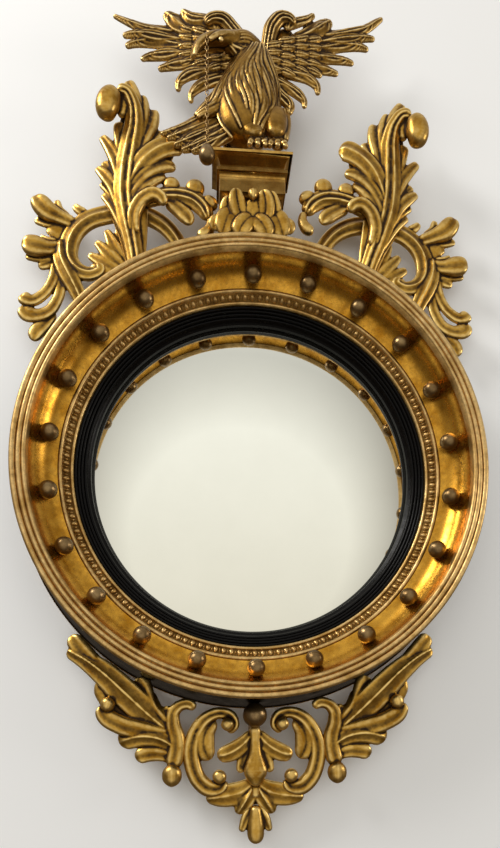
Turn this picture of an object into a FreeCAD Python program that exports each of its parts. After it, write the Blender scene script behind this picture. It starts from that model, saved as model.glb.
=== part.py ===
import FreeCAD, Part
import math
import os
import Sketcher
from FreeCAD import Placement, Rotation, Vector

# Girandole mirror: a turned and gilt round frame with a convex glass, a carved crest with an eagle
# on a plinth, a carved apron, and a fine chain with a drop that hangs from the beak.
# Frame: X to the right, Z up, the front faces -Y and the wall is the plane Y = 0.
# The origin is the centre of the round frame on the wall plane. "depth" is measured forward, along -Y.

SIZES = (
    ("carcass_radius", 318, "carcass ring, outer radius at the wall"),
    ("carcass_edge", 5, "carcass ring, straight gilt edge at the wall"),
    ("carcass_taper", 18, "how much the carcass narrows from the wall to the rim"),
    ("carcass_wall", 10, "thickness of the carcass's tall wall behind the rim"),
    ("seat_depth", 30, "depth of the flat face that carries the front mouldings"),
    ("rim_seat_depth", 90, "depth of the face that carries the reeded rim"),
    ("board_ledge", 14, "how much wider the backboard's bore is than the glass's"),
    ("board_thickness", 8, "backboard"),
    ("ring_gap", 0.2, "clearance between nested rings"),
    ("rim_overhang", 5, "reeded rim, beyond the front of the carcass"),
    ("rim_width", 21, "reeded rim, from its outer to its inner edge"),
    ("rim_height", 12, "reeded rim, height over its seat"),
    ("reed_groove", 3, "depth of the grooves between the reeds"),
    ("cove_radius", 38, "radius of the cove's hollow"),
    ("cove_centre_inset", 43, "the hollow's centre, in from the carcass's tall wall"),
    ("cove_centre_depth", 89, "depth of the hollow's centre"),
    ("cove_width", 34, "cove, from the carcass's tall wall to the carved band"),
    ("band_width", 19, "carved band"),
    ("band_height", 23, "height of the carved band's fillet over its seat"),
    ("slip_width", 20, "ebonised slip, from the band to its sight edge"),
    ("slip_lap", 9, "slip, on its seat beyond the bore for the glass"),
    ("slip_outer_height", 11, "slip over its seat, at its outer edge"),
    ("slip_inner_depth", 26, "depth of the slip's front at the sight edge"),
    ("slip_back_depth", 21.4, "depth of the slip's back over the glass"),
    ("glass_play", 2, "between the glass's edge and its bore"),
    ("glass_curve", 780, "convex glass, radius of its curve"),
    ("glass_thickness", 3, "convex glass"),
    ("glass_edge_depth", 18, "depth of the glass's front at its edge"),
    ("glass_block_count", 8, "softwood blocks behind the glass"),
    ("glass_block_width", 24, "softwood block"),
    ("glass_block_reach", 13, "softwood block, radially"),
    ("ball_count", 22, "balls in the cove"),
    ("ball_radius", 12, "ball"),
    ("ball_seat", 10.5, "from a ball's centre to its flat seat"),
    ("ball_place", 44, "place round the cove's hollow, degrees from the wall"),
    ("screw_head_radius", 4, "countersunk screw head"),
    ("screw_head_height", 2.5, "countersunk screw head"),
    ("screw_shank_radius", 1.8, "screw shank"),
    ("screw_length", 20, "screw, head and shank"),
    ("board_screw_count", 8, "backboard screws"),
    ("board_screw_inset", 8, "backboard screws, in from the board's bore"),
    ("plate_width", 56, "hanging plate"),
    ("plate_height", 22, "hanging plate"),
    ("plate_thickness", 2.5, "hanging plate"),
    ("plate_inset", 52, "hanging plate's centre, in from the carcass's edge"),
    ("plate_hole_radius", 4, "hole of the hanging plate"),
    ("plate_pocket_radius", 9, "pocket behind the hole for the wall screw's head"),
    ("plate_pocket_depth", 14, "pocket behind the hole for the wall screw's head"),
    ("plate_screw_place", 20, "hanging plate's screws, each side of its hole"),
    ("dowel_radius", 3.5, "wooden peg"),
    ("dowel_length", 24, "wooden peg"),
    ("dowel_gap", 0.1, "clearance round a peg, screw or wire in its hole"),
    ("crest_depth", 45, "middle of the crest's leaves, from the wall"),
    ("scroll_depth", 25, "middle of the crest's scrolls, from the wall"),
    ("apron_depth", 30, "middle of the apron, from the wall"),
    ("leaf_angle", 30, "place of the upright leaves round the ring, degrees from the top"),
    ("scroll_angle", 45, "place of the crest's scrolls round the ring, degrees from the top"),
    ("fan_angle", 36, "place of the fan leaves round the ring, degrees from the top"),
    ("spray_angle", 30, "place of the apron's sprays round the ring, degrees from the foot"),
    ("leaf_lean", 4, "the upright leaves lean to the right, degrees"),
    ("batten_thickness", 9, "battens let into the back"),
    ("batten_lap", 32, "how far a batten is let into the ring"),
    ("crest_batten_width", 36, "crest batten"),
    ("apron_batten_width", 14, "apron batten"),
    ("apron_batten_length", 112, "apron batten, below the ring"),
    ("crest_batten_rise", 20, "crest batten's top, above the pedestal"),
    ("batten_screw_inset", 13, "batten screws, in from the ring's edge"),
    ("batten_screw_spread", 10, "batten screws, off the middle and in from the batten's end"),
    ("pedestal_height", 59, "pedestal, above the ring"),
    ("pedestal_top_width", 74, "pedestal, at its top"),
    ("pedestal_waist_width", 60, "pedestal, at its waist"),
    ("pedestal_foot_width", 96, "pedestal, at its foot"),
    ("pedestal_depth", 56, "pedestal, front to back"),
    ("block_height", 26, "plinth block"),
    ("block_width", 90, "plinth block"),
    ("block_depth", 64, "plinth block, front to back"),
    ("cap_height", 35, "plinth cap"),
    ("cap_width", 110, "plinth cap at its top"),
    ("cap_depth", 73, "plinth cap at its top, front to back"),
    ("cap_foot_width", 86, "plinth cap at its foot"),
    ("cap_fillet", 6, "upright edges of the plinth cap"),
    ("eagle_depth", 58, "middle of the eagle's body, from the wall"),
    ("wing_tilt", 4, "the right wing is raised and the left wing lowered, degrees"),
    ("chain_forward", 40, "chain, in front of the eagle's middle"),
    ("chain_offset", 62, "chain, left of the centre"),
    ("staple_height", 146, "staple's loop over the plinth"),
    ("staple_shank", 13, "staple's shank in the beak"),
    ("eye_shank", 8, "eye's shank in the drop"),
    ("wire_thickness", 1.1, "square wire of the chain, the staple and the eye"),
    ("link_length", 8, "chain link, outside"),
    ("link_width", 5, "chain link, outside"),
    ("link_play", 0.35, "play between two links"),
    ("upper_links", 13, "links of the upper length"),
    ("lower_links", 13, "links of the lower length"),
    ("drop_radius", 11, "drop"),
    ("drop_height", 28, "drop"),
    ("apron_ball_radius", 16, "ball of the apron"),
    ("apron_ball_forward", 6, "ball of the apron, in front of the apron's middle"),
    ("apron_ball_drop", 8, "ball of the apron, below the ring"),
)
# Sizes that follow from those above, so that the nested rings keep together when one changes.
FOLLOWING = (
    ("carcass_front_radius", "=carcass_radius - carcass_taper", "carcass, outer radius behind the rim"),
    ("carcass_wall_radius", "=carcass_front_radius - carcass_wall", "inner radius of the tall wall"),
    ("rim_radius", "=carcass_front_radius + rim_overhang", "reeded rim, outer radius"),
    ("rim_inner_radius", "=rim_radius - rim_width", "reeded rim, inner radius"),
    ("cove_centre_radius", "=carcass_wall_radius - cove_centre_inset", "the cove's hollow, from the axis"),
    ("band_radius", "=carcass_wall_radius - cove_width", "outer radius of the carved band"),
    ("slip_radius", "=band_radius - band_width", "outer radius of the slip"),
    ("sight_radius", "=slip_radius - slip_width", "sight edge of the slip"),
    ("glass_bore_radius", "=slip_radius - slip_lap", "bore for the glass"),
    ("glass_radius", "=glass_bore_radius - glass_play", "convex glass, edge radius"),
    ("board_bore_radius", "=glass_bore_radius + board_ledge", "bore for the backboard"),
    ("board_screw_radius", "=board_bore_radius - board_screw_inset", "circle of the backboard screws"),
    ("chain_depth", "=eagle_depth + chain_forward", "chain, from the wall"),
)

doc = FreeCAD.newDocument("girandole_mirror")
sheet = doc.addObject("Spreadsheet::Sheet", "Sizes")
for row, (alias, value, note) in enumerate(SIZES + FOLLOWING, start=1):
    sheet.set("A%d" % row, note)
    sheet.set("B%d" % row, str(value))
    sheet.setAlias("B%d" % row, alias)
doc.recompute()


def size(alias):
    return float(getattr(sheet, alias))


PARTS = []


def keep(thing, label):
    """Names a finished sub-part; its label is its file's name."""
    thing.Label = label
    PARTS.append(thing)
    return thing


def feature(label, shape):
    """A carved sub-part whose shape comes from Part's own functions."""
    thing = doc.addObject("Part::Feature", label)
    thing.Shape = shape
    thing.Placement = Placement()
    return keep(thing, label)


# ---------------------------------------------------------------- turned rings

def origin_plane(body, role):
    return next(item for item in body.Origin.OriginFeatures if item.Role == role)


def section_sketch(body, name):
    sketch = body.newObject("Sketcher::SketchObject", name)
    sketch.AttachmentSupport = [(origin_plane(body, "XY_Plane"), "")]
    sketch.MapMode = "FlatFace"
    return sketch


def turned_ring(label, corners):
    """A ring turned about Y. Each corner is a (radius, depth) pair of expressions on the sheet."""
    body = doc.addObject("PartDesign::Body", label)
    sketch = section_sketch(body, label + "_section")
    points = []
    for radius, depth in corners:
        points.append(Vector(sheet.evalExpression(radius), -sheet.evalExpression(depth), 0))
    count = len(points)
    for i in range(count):
        sketch.addGeometry(Part.LineSegment(points[i], points[(i + 1) % count]), False)
    for i in range(count):
        sketch.addConstraint(Sketcher.Constraint("Coincident", i, 2, (i + 1) % count, 1))
    for i, (radius, depth) in enumerate(corners):
        first = sketch.addConstraint(Sketcher.Constraint("DistanceX", -1, 1, i, 1, points[i].x))
        sketch.setExpression("Constraints[%d]" % first, radius)
        second = sketch.addConstraint(Sketcher.Constraint("DistanceY", i, 1, -1, 1, -points[i].y))
        sketch.setExpression("Constraints[%d]" % second, depth)
    turning = body.newObject("PartDesign::Revolution", label + "_turning")
    turning.Profile = sketch
    turning.ReferenceAxis = (sketch, ["V_Axis"])
    turning.Angle = 360
    doc.recompute()
    return body


def disc(radius, near, far):
    """A plain disc between two depths."""
    return Part.makeCylinder(radius, far - near, Vector(0, -near, 0), Vector(0, -1, 0))


def rod(radius, start, end):
    start, end = Vector(*start), Vector(*end)
    return Part.makeCylinder(radius, start.distanceToPoint(end), start, end - start)


def block(width, near, far, low, high, centre=0.0):
    """A box centred on X = centre, between two depths and two heights."""
    return Part.makeBox(width, far - near, high - low, Vector(centre - width / 2, -far, low))


def polar(radius, degrees, depth):
    """A point at a clock place round the ring: 0 is the top, 90 is on the +X side."""
    turn = math.radians(degrees)
    return Vector(radius * math.sin(turn), -depth, radius * math.cos(turn))


RIM_SEAT = size("rim_seat_depth")
RING = size("carcass_radius")
GAP = size("ring_gap")
REACH = 400.0  # how far a cutter runs past the piece it cuts
FRONT = Vector(0, -1, 0)

carcass = turned_ring("carcass_turning", (
    ("Sizes.board_bore_radius", "0"),
    ("Sizes.carcass_radius", "0"),
    ("Sizes.carcass_radius", "Sizes.carcass_edge"),
    ("Sizes.carcass_front_radius", "Sizes.rim_seat_depth"),
    ("Sizes.carcass_wall_radius", "Sizes.rim_seat_depth"),
    ("Sizes.carcass_wall_radius", "Sizes.seat_depth"),
    ("Sizes.glass_bore_radius", "Sizes.seat_depth"),
    ("Sizes.glass_bore_radius", "Sizes.board_thickness"),
    ("Sizes.board_bore_radius", "Sizes.board_thickness"),
))

cove = turned_ring("cavetto_moulding", (
    ("Sizes.band_radius", "Sizes.seat_depth"),
    ("Sizes.carcass_wall_radius - Sizes.ring_gap", "Sizes.seat_depth"),
    ("Sizes.carcass_wall_radius - Sizes.ring_gap", "Sizes.rim_seat_depth"),
    ("Sizes.band_radius", "Sizes.rim_seat_depth"),
))
before = cove.Shape.Volume
hollow = section_sketch(cove, "cove_section")
hollow.addGeometry(Part.Circle(Vector(size("cove_centre_radius"), -size("cove_centre_depth"), 0),
                               Vector(0, 0, 1), size("cove_radius")), False)
hollow.addConstraint(Sketcher.Constraint("DistanceX", -1, 1, 0, 3, size("cove_centre_radius")))
hollow.addConstraint(Sketcher.Constraint("DistanceY", 0, 3, -1, 1, size("cove_centre_depth")))
hollow.addConstraint(Sketcher.Constraint("Radius", 0, size("cove_radius")))
hollow.setExpression("Constraints[0]", "Sizes.cove_centre_radius")
hollow.setExpression("Constraints[1]", "Sizes.cove_centre_depth")
hollow.setExpression("Constraints[2]", "Sizes.cove_radius")
cutting = cove.newObject("PartDesign::Groove", "cove_cut")
cutting.Profile = hollow
cutting.ReferenceAxis = (hollow, ["V_Axis"])
cutting.Angle = 360
doc.recompute()
if cove.Shape.Volume > before - 1:
    raise ValueError("the cove's groove cuts nothing")
keep(cove, "cavetto_moulding")

REED = "(Sizes.rim_radius - Sizes.rim_inner_radius)"
RIM_TOP = "Sizes.rim_seat_depth + Sizes.rim_height"
RIM_VALLEY = RIM_TOP + " - Sizes.reed_groove"
rim_corners = [("Sizes.rim_inner_radius", "Sizes.rim_seat_depth"),
               ("Sizes.rim_radius", "Sizes.rim_seat_depth"),
               ("Sizes.rim_radius", RIM_VALLEY)]
for share, height in ((0.10, RIM_TOP), (0.26, RIM_TOP), (0.36, RIM_VALLEY), (0.46, RIM_TOP),
                      (0.62, RIM_TOP), (0.72, RIM_VALLEY), (0.80, RIM_TOP), (0.95, RIM_TOP)):
    rim_corners.append(("Sizes.rim_radius - %.2f * %s" % (share, REED), height))
keep(turned_ring("rim_turning", rim_corners), "reeded_rim")

keep(turned_ring("band_turning", (
    ("Sizes.slip_radius + Sizes.ring_gap", "Sizes.seat_depth"),
    ("Sizes.band_radius - Sizes.ring_gap", "Sizes.seat_depth"),
    ("Sizes.band_radius - Sizes.ring_gap", "Sizes.seat_depth + Sizes.band_height"),
    ("Sizes.band_radius - 5", "Sizes.seat_depth + Sizes.band_height"),
    ("Sizes.band_radius - 7", "Sizes.seat_depth + Sizes.band_height - 5"),
    ("Sizes.slip_radius + 4", "Sizes.seat_depth + Sizes.slip_outer_height + 3"),
    ("Sizes.slip_radius + Sizes.ring_gap", "Sizes.seat_depth + Sizes.slip_outer_height + 3"),
)), "carved_band")

keep(turned_ring("slip_turning", (
    ("Sizes.sight_radius", "Sizes.slip_back_depth"),
    ("Sizes.glass_bore_radius - Sizes.ring_gap", "Sizes.slip_back_depth"),
    ("Sizes.glass_bore_radius - Sizes.ring_gap", "Sizes.seat_depth"),
    ("Sizes.slip_radius", "Sizes.seat_depth"),
    ("Sizes.slip_radius", "Sizes.seat_depth + Sizes.slip_outer_height"),
    ("Sizes.slip_radius - 4", "Sizes.seat_depth + Sizes.slip_outer_height"),
    ("Sizes.slip_radius - 5", "Sizes.seat_depth + Sizes.slip_outer_height - 4"),
    ("Sizes.sight_radius + 4", "Sizes.slip_inner_depth + 2"),
    ("Sizes.sight_radius", "Sizes.slip_inner_depth"),
)), "ebonised_slip")


# ---------------------------------------------------------------- glass and back

def glass_cap(offset):
    """The part of a ball that lies in front of the glass's edge plane, moved back by offset."""
    curve = size("glass_curve")
    rise = curve - math.sqrt(curve ** 2 - size("glass_radius") ** 2)
    edge = size("glass_edge_depth") - offset
    ball_centre = Vector(0, curve - edge - rise, 0)
    ball = Part.makeSphere(curve, ball_centre, FRONT, 0, 90, 360)
    return ball.common(disc(size("glass_radius"), edge, edge + rise + size("glass_thickness")))


glass_rim = disc(size("glass_radius"), size("glass_edge_depth") - size("glass_thickness"),
                 size("glass_edge_depth"))
feature("convex_glass", glass_rim.fuse(glass_cap(0)).cut(glass_cap(size("glass_thickness"))))

blocks = []
block_outer = size("glass_radius")
for i in range(round(size("glass_block_count"))):
    piece = block(size("glass_block_width"), size("board_thickness"),
                  size("glass_edge_depth") - size("glass_thickness"),
                  block_outer - size("glass_block_reach"), block_outer - 2 * GAP)
    piece.rotate(Vector(0, 0, 0), Vector(0, 1, 0), 360.0 / size("glass_block_count") * (i + 0.5))
    blocks.append(piece)
feature("glass_blocks", Part.makeCompound(blocks))


def screw(head, direction, clearance=0.0):
    """A countersunk screw; head is the middle of its flat face, direction points along the shank."""
    along = Vector(*direction)
    top = Vector(*head)
    cone = Part.makeCone(size("screw_head_radius") + clearance, size("screw_shank_radius") + clearance,
                         size("screw_head_height"), top, along)
    shank = Part.makeCylinder(size("screw_shank_radius") + clearance, size("screw_length"), top, along)
    return cone.fuse(shank)


def screw_set(heads, direction):
    """The screws, and the same screws with clearance for their holes."""
    gap = size("dowel_gap")
    return ([screw(head, direction) for head in heads],
            [screw(head, direction, gap) for head in heads])


board_heads = []
for i in range(round(size("board_screw_count"))):
    place = polar(size("board_screw_radius"), 360.0 / size("board_screw_count") * i, 0)
    board_heads.append(tuple(place))
board_screws, board_holes = screw_set(board_heads, (0, -1, 0))
board = disc(size("board_bore_radius") - GAP, 0, size("board_thickness"))
feature("backboard", board.cut(Part.makeCompound(board_holes)))
feature("backboard_screws", Part.makeCompound(board_screws))

plate_z = RING - size("plate_inset")
plate_heads = [(side * size("plate_screw_place"), 0, plate_z) for side in (-1, 1)]
plate_screws, plate_holes = screw_set(plate_heads, (0, -1, 0))
plate_hole = disc(size("plate_hole_radius"), 0, size("plate_thickness"))
plate_hole.translate(Vector(0, 0, plate_z))
plate = block(size("plate_width"), 0, size("plate_thickness"), plate_z - size("plate_height") / 2,
              plate_z + size("plate_height") / 2)
feature("hanging_plate", plate.cut(plate_hole).cut(Part.makeCompound(plate_holes)))
feature("hanging_plate_screws", Part.makeCompound(plate_screws))
plate_seat = block(size("plate_width") + 2 * GAP, 0, size("plate_thickness"),
                   plate_z - size("plate_height") / 2 - GAP, plate_z + size("plate_height") / 2 + GAP)
pocket = disc(size("plate_pocket_radius"), 0, size("plate_pocket_depth"))
pocket.translate(Vector(0, 0, plate_z))


# ---------------------------------------------------------------- balls in the cove

def cove_ball(degrees):
    """A turned ball with a flat seat, glued in the cove's hollow."""
    seat_radius = math.sqrt(size("ball_radius") ** 2 - size("ball_seat") ** 2)
    reach = math.sqrt(size("cove_radius") ** 2 - seat_radius ** 2) - size("ball_seat")
    lean = math.radians(size("ball_place"))
    centre = Vector(size("cove_centre_radius") + reach * math.sin(lean),
                    -(size("cove_centre_depth") - reach * math.cos(lean)), 0)
    to_seat = Vector(math.sin(lean), math.cos(lean), 0)
    ball = Part.makeSphere(size("ball_radius"), centre, Vector(0, 0, 1))
    waste = Part.makeCylinder(size("ball_radius"), size("ball_radius"),
                              centre + to_seat * size("ball_seat"), to_seat)
    ball = ball.cut(waste)
    ball.rotate(Vector(0, 0, 0), Vector(0, 1, 0), degrees - 90)
    return ball


ball_step = 360.0 / size("ball_count")
feature("cavetto_balls", Part.makeCompound([cove_ball(i * ball_step)
                                            for i in range(round(size("ball_count")))]))


# ---------------------------------------------------------------- carving

# One cut across a carved lobe: (share of the half width, share of the half depth), front side first.
LOBE_CORNERS = ((1, 0), (0.5, 1), (-0.5, 1), (-1, 0), (-0.5, -0.8), (0.5, -0.8))


def lobe(half_depth, stations):
    """One carved lobe. A station is (x, z, half width, y forward); the lobe runs through its stations."""
    spine = [Vector(x, -forward, z) for x, z, half_width, forward in stations]
    across = None
    cuts = []
    for i, station in enumerate(stations):
        along = spine[min(i + 1, len(spine) - 1)] - spine[max(i - 1, 0)]
        along.normalize()
        if across is None:
            across = along.cross(FRONT)
        across = across - along * across.dot(along)
        across.normalize()
        out = across.cross(along)
        taper = half_depth * min(1.0, 0.45 + 0.55 * station[2] / max(item[2] for item in stations))
        corners = [spine[i] + across * (share * station[2]) + out * (rise * taper)
                   for share, rise in LOBE_CORNERS]
        cuts.append(Part.makePolygon(corners + corners[:1]))
    solid = Part.makeLoft(cuts, True, True)
    if solid.Volume < 0:
        solid.reverse()
    return solid


def carving(strokes, foot, depth):
    """Fuses the lobes of one carved piece. Stations are measured from the foot (x, z) and the depth."""
    lobes = []
    for half_depth, stations in strokes:
        placed = [(foot[0] + x, foot[1] + z, width, depth + forward)
                  for x, z, width, forward in stations]
        lobes.append(lobe(half_depth, placed))
    whole = lobes[0].multiFuse(lobes[1:]) if len(lobes) > 1 else lobes[0]
    return whole


def mirrored(shape):
    return shape.mirror(Vector(0, 0, 0), Vector(1, 0, 0))


def turned(corners):
    """A solid turned about Y from (radius, depth) corners."""
    points = [Vector(radius, -depth, 0) for radius, depth in corners]
    return Part.Face(Part.makePolygon(points + points[:1])).revolve(Vector(0, 0, 0), Vector(0, 1, 0), 360)


def frame_space(gap):
    """The room that the round frame takes, with a gap round the carcass."""
    rim_clear = size("rim_radius") + GAP
    return turned(((0, -GAP), (RING + gap, -GAP), (RING + gap, size("carcass_edge")),
                   (size("carcass_front_radius") + gap, RIM_SEAT - GAP), (rim_clear, RIM_SEAT - GAP),
                   (rim_clear, REACH), (0, REACH)))


FRAME_SPACE = frame_space(0.0)


def seated(shape):
    """Cuts away what would lie inside the round frame, so that the piece sits on its side."""
    return shape.cut(FRAME_SPACE)


def ring_foot(degrees, depth):
    """The (x, z) of a place on the ring's edge."""
    place = polar(RING, degrees, depth)
    return place.x, place.z


# Strokes: (half depth, ((x, z, half width, forward), ...)), outward from the centre line, for the right.
LEAF = (
    (8, ((-8, -16, 9, -4), (8, 28, 9, -3), (22, 76, 12, 1), (29, 124, 14, 3), (28, 168, 15, 4),
         (27, 212, 15, 7), (31, 246, 14, 10), (43, 268, 12, 14), (58, 270, 9, 18), (69, 255, 9, 20),
         (69, 236, 9, 20), (60, 224, 6, 16))),
    (6, ((27, 140, 9, 3), (5, 178, 11, 5), (-20, 196, 12, 6), (-44, 199, 11, 2), (-50, 196, 7, 0))),
    (5, ((26, 110, 8, 2), (4, 148, 8, 4), (-18, 163, 7, 4), (-36, 164, 4, 1))),
    (5, ((26, 180, 8, 2), (12, 212, 9, 0), (-7, 233, 5, -3))),
    (5, ((30, 225, 9, 4), (30, 258, 10, 2), (32, 284, 5, 0))),
    (5, ((28, 140, 7, 2), (46, 168, 7, 0), (66, 193, 4, -3))),
    (5, ((26, 108, 7, 0), (46, 128, 6, -2), (67, 147, 4, -4))),
    (5, ((18, 68, 7, 0), (38, 90, 6, -2), (58, 110, 4, -4))),
    (8, ((22, 84, 7, 0), (6, 104, 8, 0), (-10, 118, 8, 0), (-30, 126, 9, 0), (-50, 127, 9, 0),
         (-71, 118, 9, 0), (-87, 99, 8, 1), (-94, 78, 8, 2), (-87, 68, 5, 3))),
    (7, ((-36, 126, 8, 0), (-38, 144, 10, 1), (-39, 153, 6, 1))),
    (7, ((-60, 122, 8, 0), (-64, 142, 10, 1), (-67, 152, 6, 1))),
    (7, ((-80, 108, 7, 0), (-88, 124, 9, 1), (-92, 133, 5, 1))),
    (5, ((-48, 122, 7, 0), (-58, 98, 7, 0), (-64, 82, 4, 0))),
)
SCROLL = (
    (9, ((-142, 62, 9, 0), (-126, 92, 10, 0), (-112, 117, 10, 0), (-88, 139, 11, 0), (-56, 154, 11, 0),
         (-18, 155, 12, 0), (13, 141, 12, 0), (33, 115, 12, 0), (39, 86, 12, 0), (29, 63, 11, 0),
         (11, 53, 10, 0), (-4, 58, 8, 0), (-4, 70, 5, 0))),
    (8, ((38, 92, 9, 0), (36, 66, 9, 0), (28, 40, 9, 0), (14, 16, 10, 0), (-8, -8, 10, 0))),
    (8, ((22, 124, 8, 0), (50, 137, 9, 4), (67, 152, 11, 8), (75, 168, 10, 8), (78, 175, 6, 7))),
    (8, ((34, 90, 7, 0), (63, 97, 9, 4), (84, 102, 11, 8), (94, 104, 7, 8))),
    (4, ((34, 130, 6, 0), (42, 146, 5, 0), (46, 164, 3, 0))),
    (4, ((40, 128, 6, 0), (58, 128, 5, 0), (72, 126, 3, 0))),
    (4, ((40, 88, 6, 0), (62, 82, 6, 0), (83, 78, 3, 0))),
    (6, ((38, 74, 7, 0), (52, 44, 7, 2), (72, 22, 7, 4), (86, 20, 10, 6), (95, 22, 6, 6))),
    (6, ((34, 62, 7, 0), (44, 22, 7, 2), (62, 0, 8, 4), (84, -6, 10, 5), (92, -8, 6, 5))),
    (6, ((52, 8, 6, 0), (60, -10, 8, 2), (72, -24, 9, 4), (76, -36, 6, 4))),
)
FAN = (
    (5, ((-26, -2, 7, 0), (0, 52, 9, 2), (14, 78, 8, 1), (22, 92, 4, 0))),
    (5, ((-24, 0, 7, 0), (12, 50, 9, 3), (30, 70, 8, 1), (38, 78, 4, 0))),
    (5, ((-22, 2, 7, 0), (16, 38, 9, 3), (36, 50, 8, 1), (46, 54, 4, 0))),
    (5, ((-16, -4, 7, 0), (10, 22, 9, 2), (24, 36, 8, 1), (32, 40, 4, 0))),
)
SPRAY = (
    (8, ((-56, -127, 8, 4), (-63, -118, 8, 2), (-65, -98, 9, 0), (-66, -76, 9, 0), (-70, -54, 8, 0),
         (-78, -40, 7, 0), (-88, -42, 5, 0))),
    (8, ((-46, -128, 8, 4), (-52, -136, 10, 5), (-60, -128, 8, 4))),
    (7, ((-62, -96, 9, 0), (-34, -72, 11, 3), (-4, -53, 12, 5), (26, -25, 12, 5), (53, 3, 11, 2),
         (70, 18, 8, 0), (82, 30, 4, -2))),
    (6, ((32, -20, 8, 2), (56, 14, 9, 0), (72, 36, 8, -2), (80, 54, 4, -4))),
    (5, ((24, -28, 7, 2), (44, -16, 6, 2), (62, -8, 4, 0))),
    (5, ((8, -44, 6, 2), (30, -32, 6, 2), (50, -22, 3, 0))),
    (7, ((-16, -64, 7, 2), (10, -68, 8, 3), (30, -60, 9, 5), (40, -45, 10, 7), (34, -34, 8, 8))),
    (6, ((-48, -80, 7, 2), (-26, -52, 9, 3), (-14, -28, 9, 1), (-14, -4, 8, -2))),
    (6, ((-8, -56, 8, 2), (12, -24, 9, 2), (24, 6, 8, -1), (22, 22, 7, -3))),
    (6, ((-60, -92, 7, 2), (-36, -78, 9, 4), (-10, -76, 10, 4), (6, -83, 6, 2), (12, -87, 3, 1))),
    (5, ((-60, -102, 6, 0), (-40, -94, 7, 2), (-22, -98, 6, 2), (-10, -107, 3, 0))),
)
APRON_SCROLL = (
    (9, ((40, -31, 5, 2), (30, -29, 7, 2), (25, -19, 7, 2), (33, -9, 7, 0), (50, -5, 7, 0),
         (67, -14, 8, 0), (79, -34, 9, 0), (84, -60, 10, 0), (80, -82, 10, 0), (68, -96, 9, 0),
         (50, -101, 9, 0), (38, -94, 8, 2), (40, -84, 8, 3), (49, -84, 5, 3))),
    (7, ((74, -26, 6, -1), (68, -42, 10, -1), (62, -58, 9, -1), (58, -69, 4, -1))),
)
DROP_STEM = (
    (16, ((0, -14, 6, -9), (0, -60, 7, -9), (0, -118, 7, -9))),
    (8, ((0, -22, 7, 3), (0, -42, 6, 4), (0, -58, 7, 5), (0, -72, 11, 7), (0, -82, 12, 8),
         (0, -92, 8, 7), (0, -100, 3, 6))),
    (5, ((2, -30, 6, 0), (16, -46, 8, 1), (34, -56, 8, 2), (47, -58, 4, 2))),
    (5, ((-2, -30, 6, 0), (-16, -46, 8, 1), (-34, -56, 8, 2), (-47, -58, 4, 2))),
    (5, ((3, -38, 6, 0), (12, -60, 7, 1), (20, -82, 4, 2))),
    (5, ((-3, -38, 6, 0), (-12, -60, 7, 1), (-20, -82, 4, 2))),
)
LOWER_LEAVES = (
    (6, ((0, -92, 6, -4), (16, -106, 10, -1), (38, -112, 11, 0), (54, -113, 6, -2), (61, -112, 3, -3))),
    (6, ((0, -92, 6, -4), (-16, -106, 10, -1), (-38, -112, 11, 0), (-54, -113, 6, -2), (-61, -112, 3, -3))),
    (6, ((2, -98, 6, -4), (12, -116, 9, 0), (23, -133, 5, -1))),
    (6, ((-2, -98, 6, -4), (-12, -116, 9, 0), (-23, -133, 5, -1))),
    (6, ((0, -90, 6, -4), (0, -112, 7, -4), (0, -124, 6, -4))),
)
PENDANT = (
    (9, ((0, -124, 6, 0), (0, -136, 9, 1), (0, -152, 11, 2), (0, -166, 8, 2), (0, -174, 3, 1))),
    (5, ((4, -125, 5, -1), (12, -140, 6, 0), (18, -155, 3, 0))),
    (5, ((-4, -125, 5, -1), (-12, -140, 6, 0), (-18, -155, 3, 0))),
)

BODY = (
    (30, ((2, 16, 24, -2), (-7, 37, 38, 0), (-7, 67, 44, 2), (-2, 102, 42, 2), (0, 137, 33, 2),
          (3, 166, 24, 4), (-6, 182, 18, 10))),
    (17, ((3, 158, 20, 2), (-10, 182, 20, 12), (-30, 182, 19, 20), (-48, 172, 18, 26), (-62, 164, 12, 30),
          (-76, 152, 8, 31), (-82, 136, 7, 31), (-79, 122, 4, 31))),
    (7, ((-8, 140, 12, 12), (-28, 126, 10, 18), (-50, 112, 9, 24), (-70, 108, 5, 26))),
)
TAIL = (
    (10, ((-14, 60, 24, 2), (-40, 52, 22, 3), (-70, 46, 20, 3), (-98, 39, 17, 2), (-116, 35, 11, 0))),
)
LEGS = (
    (12, ((30, 62, 13, 2), (32, 40, 16, 6), (30, 20, 11, 8), (30, 3, 8, 8))),
    (12, ((-6, 60, 14, 4), (1, 34, 18, 10), (3, 16, 12, 10), (4, 3, 8, 8))),
    (4, ((30, 6, 6, 6), (40, 5, 5, 12), (47, 1, 3, 15))),
    (4, ((30, 6, 6, 6), (30, 5, 5, 16), (30, 1, 3, 22))),
    (4, ((30, 6, 6, 6), (20, 5, 5, 13), (15, 1, 3, 17))),
    (4, ((4, 6, 6, 6), (12, 5, 5, 13), (10, 1, 3, 19))),
    (4, ((4, 6, 6, 6), (2, 5, 5, 16), (0, 1, 3, 22))),
    (4, ((4, 6, 6, 6), (-8, 5, 5, 12), (-16, 1, 3, 15))),
)
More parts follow.
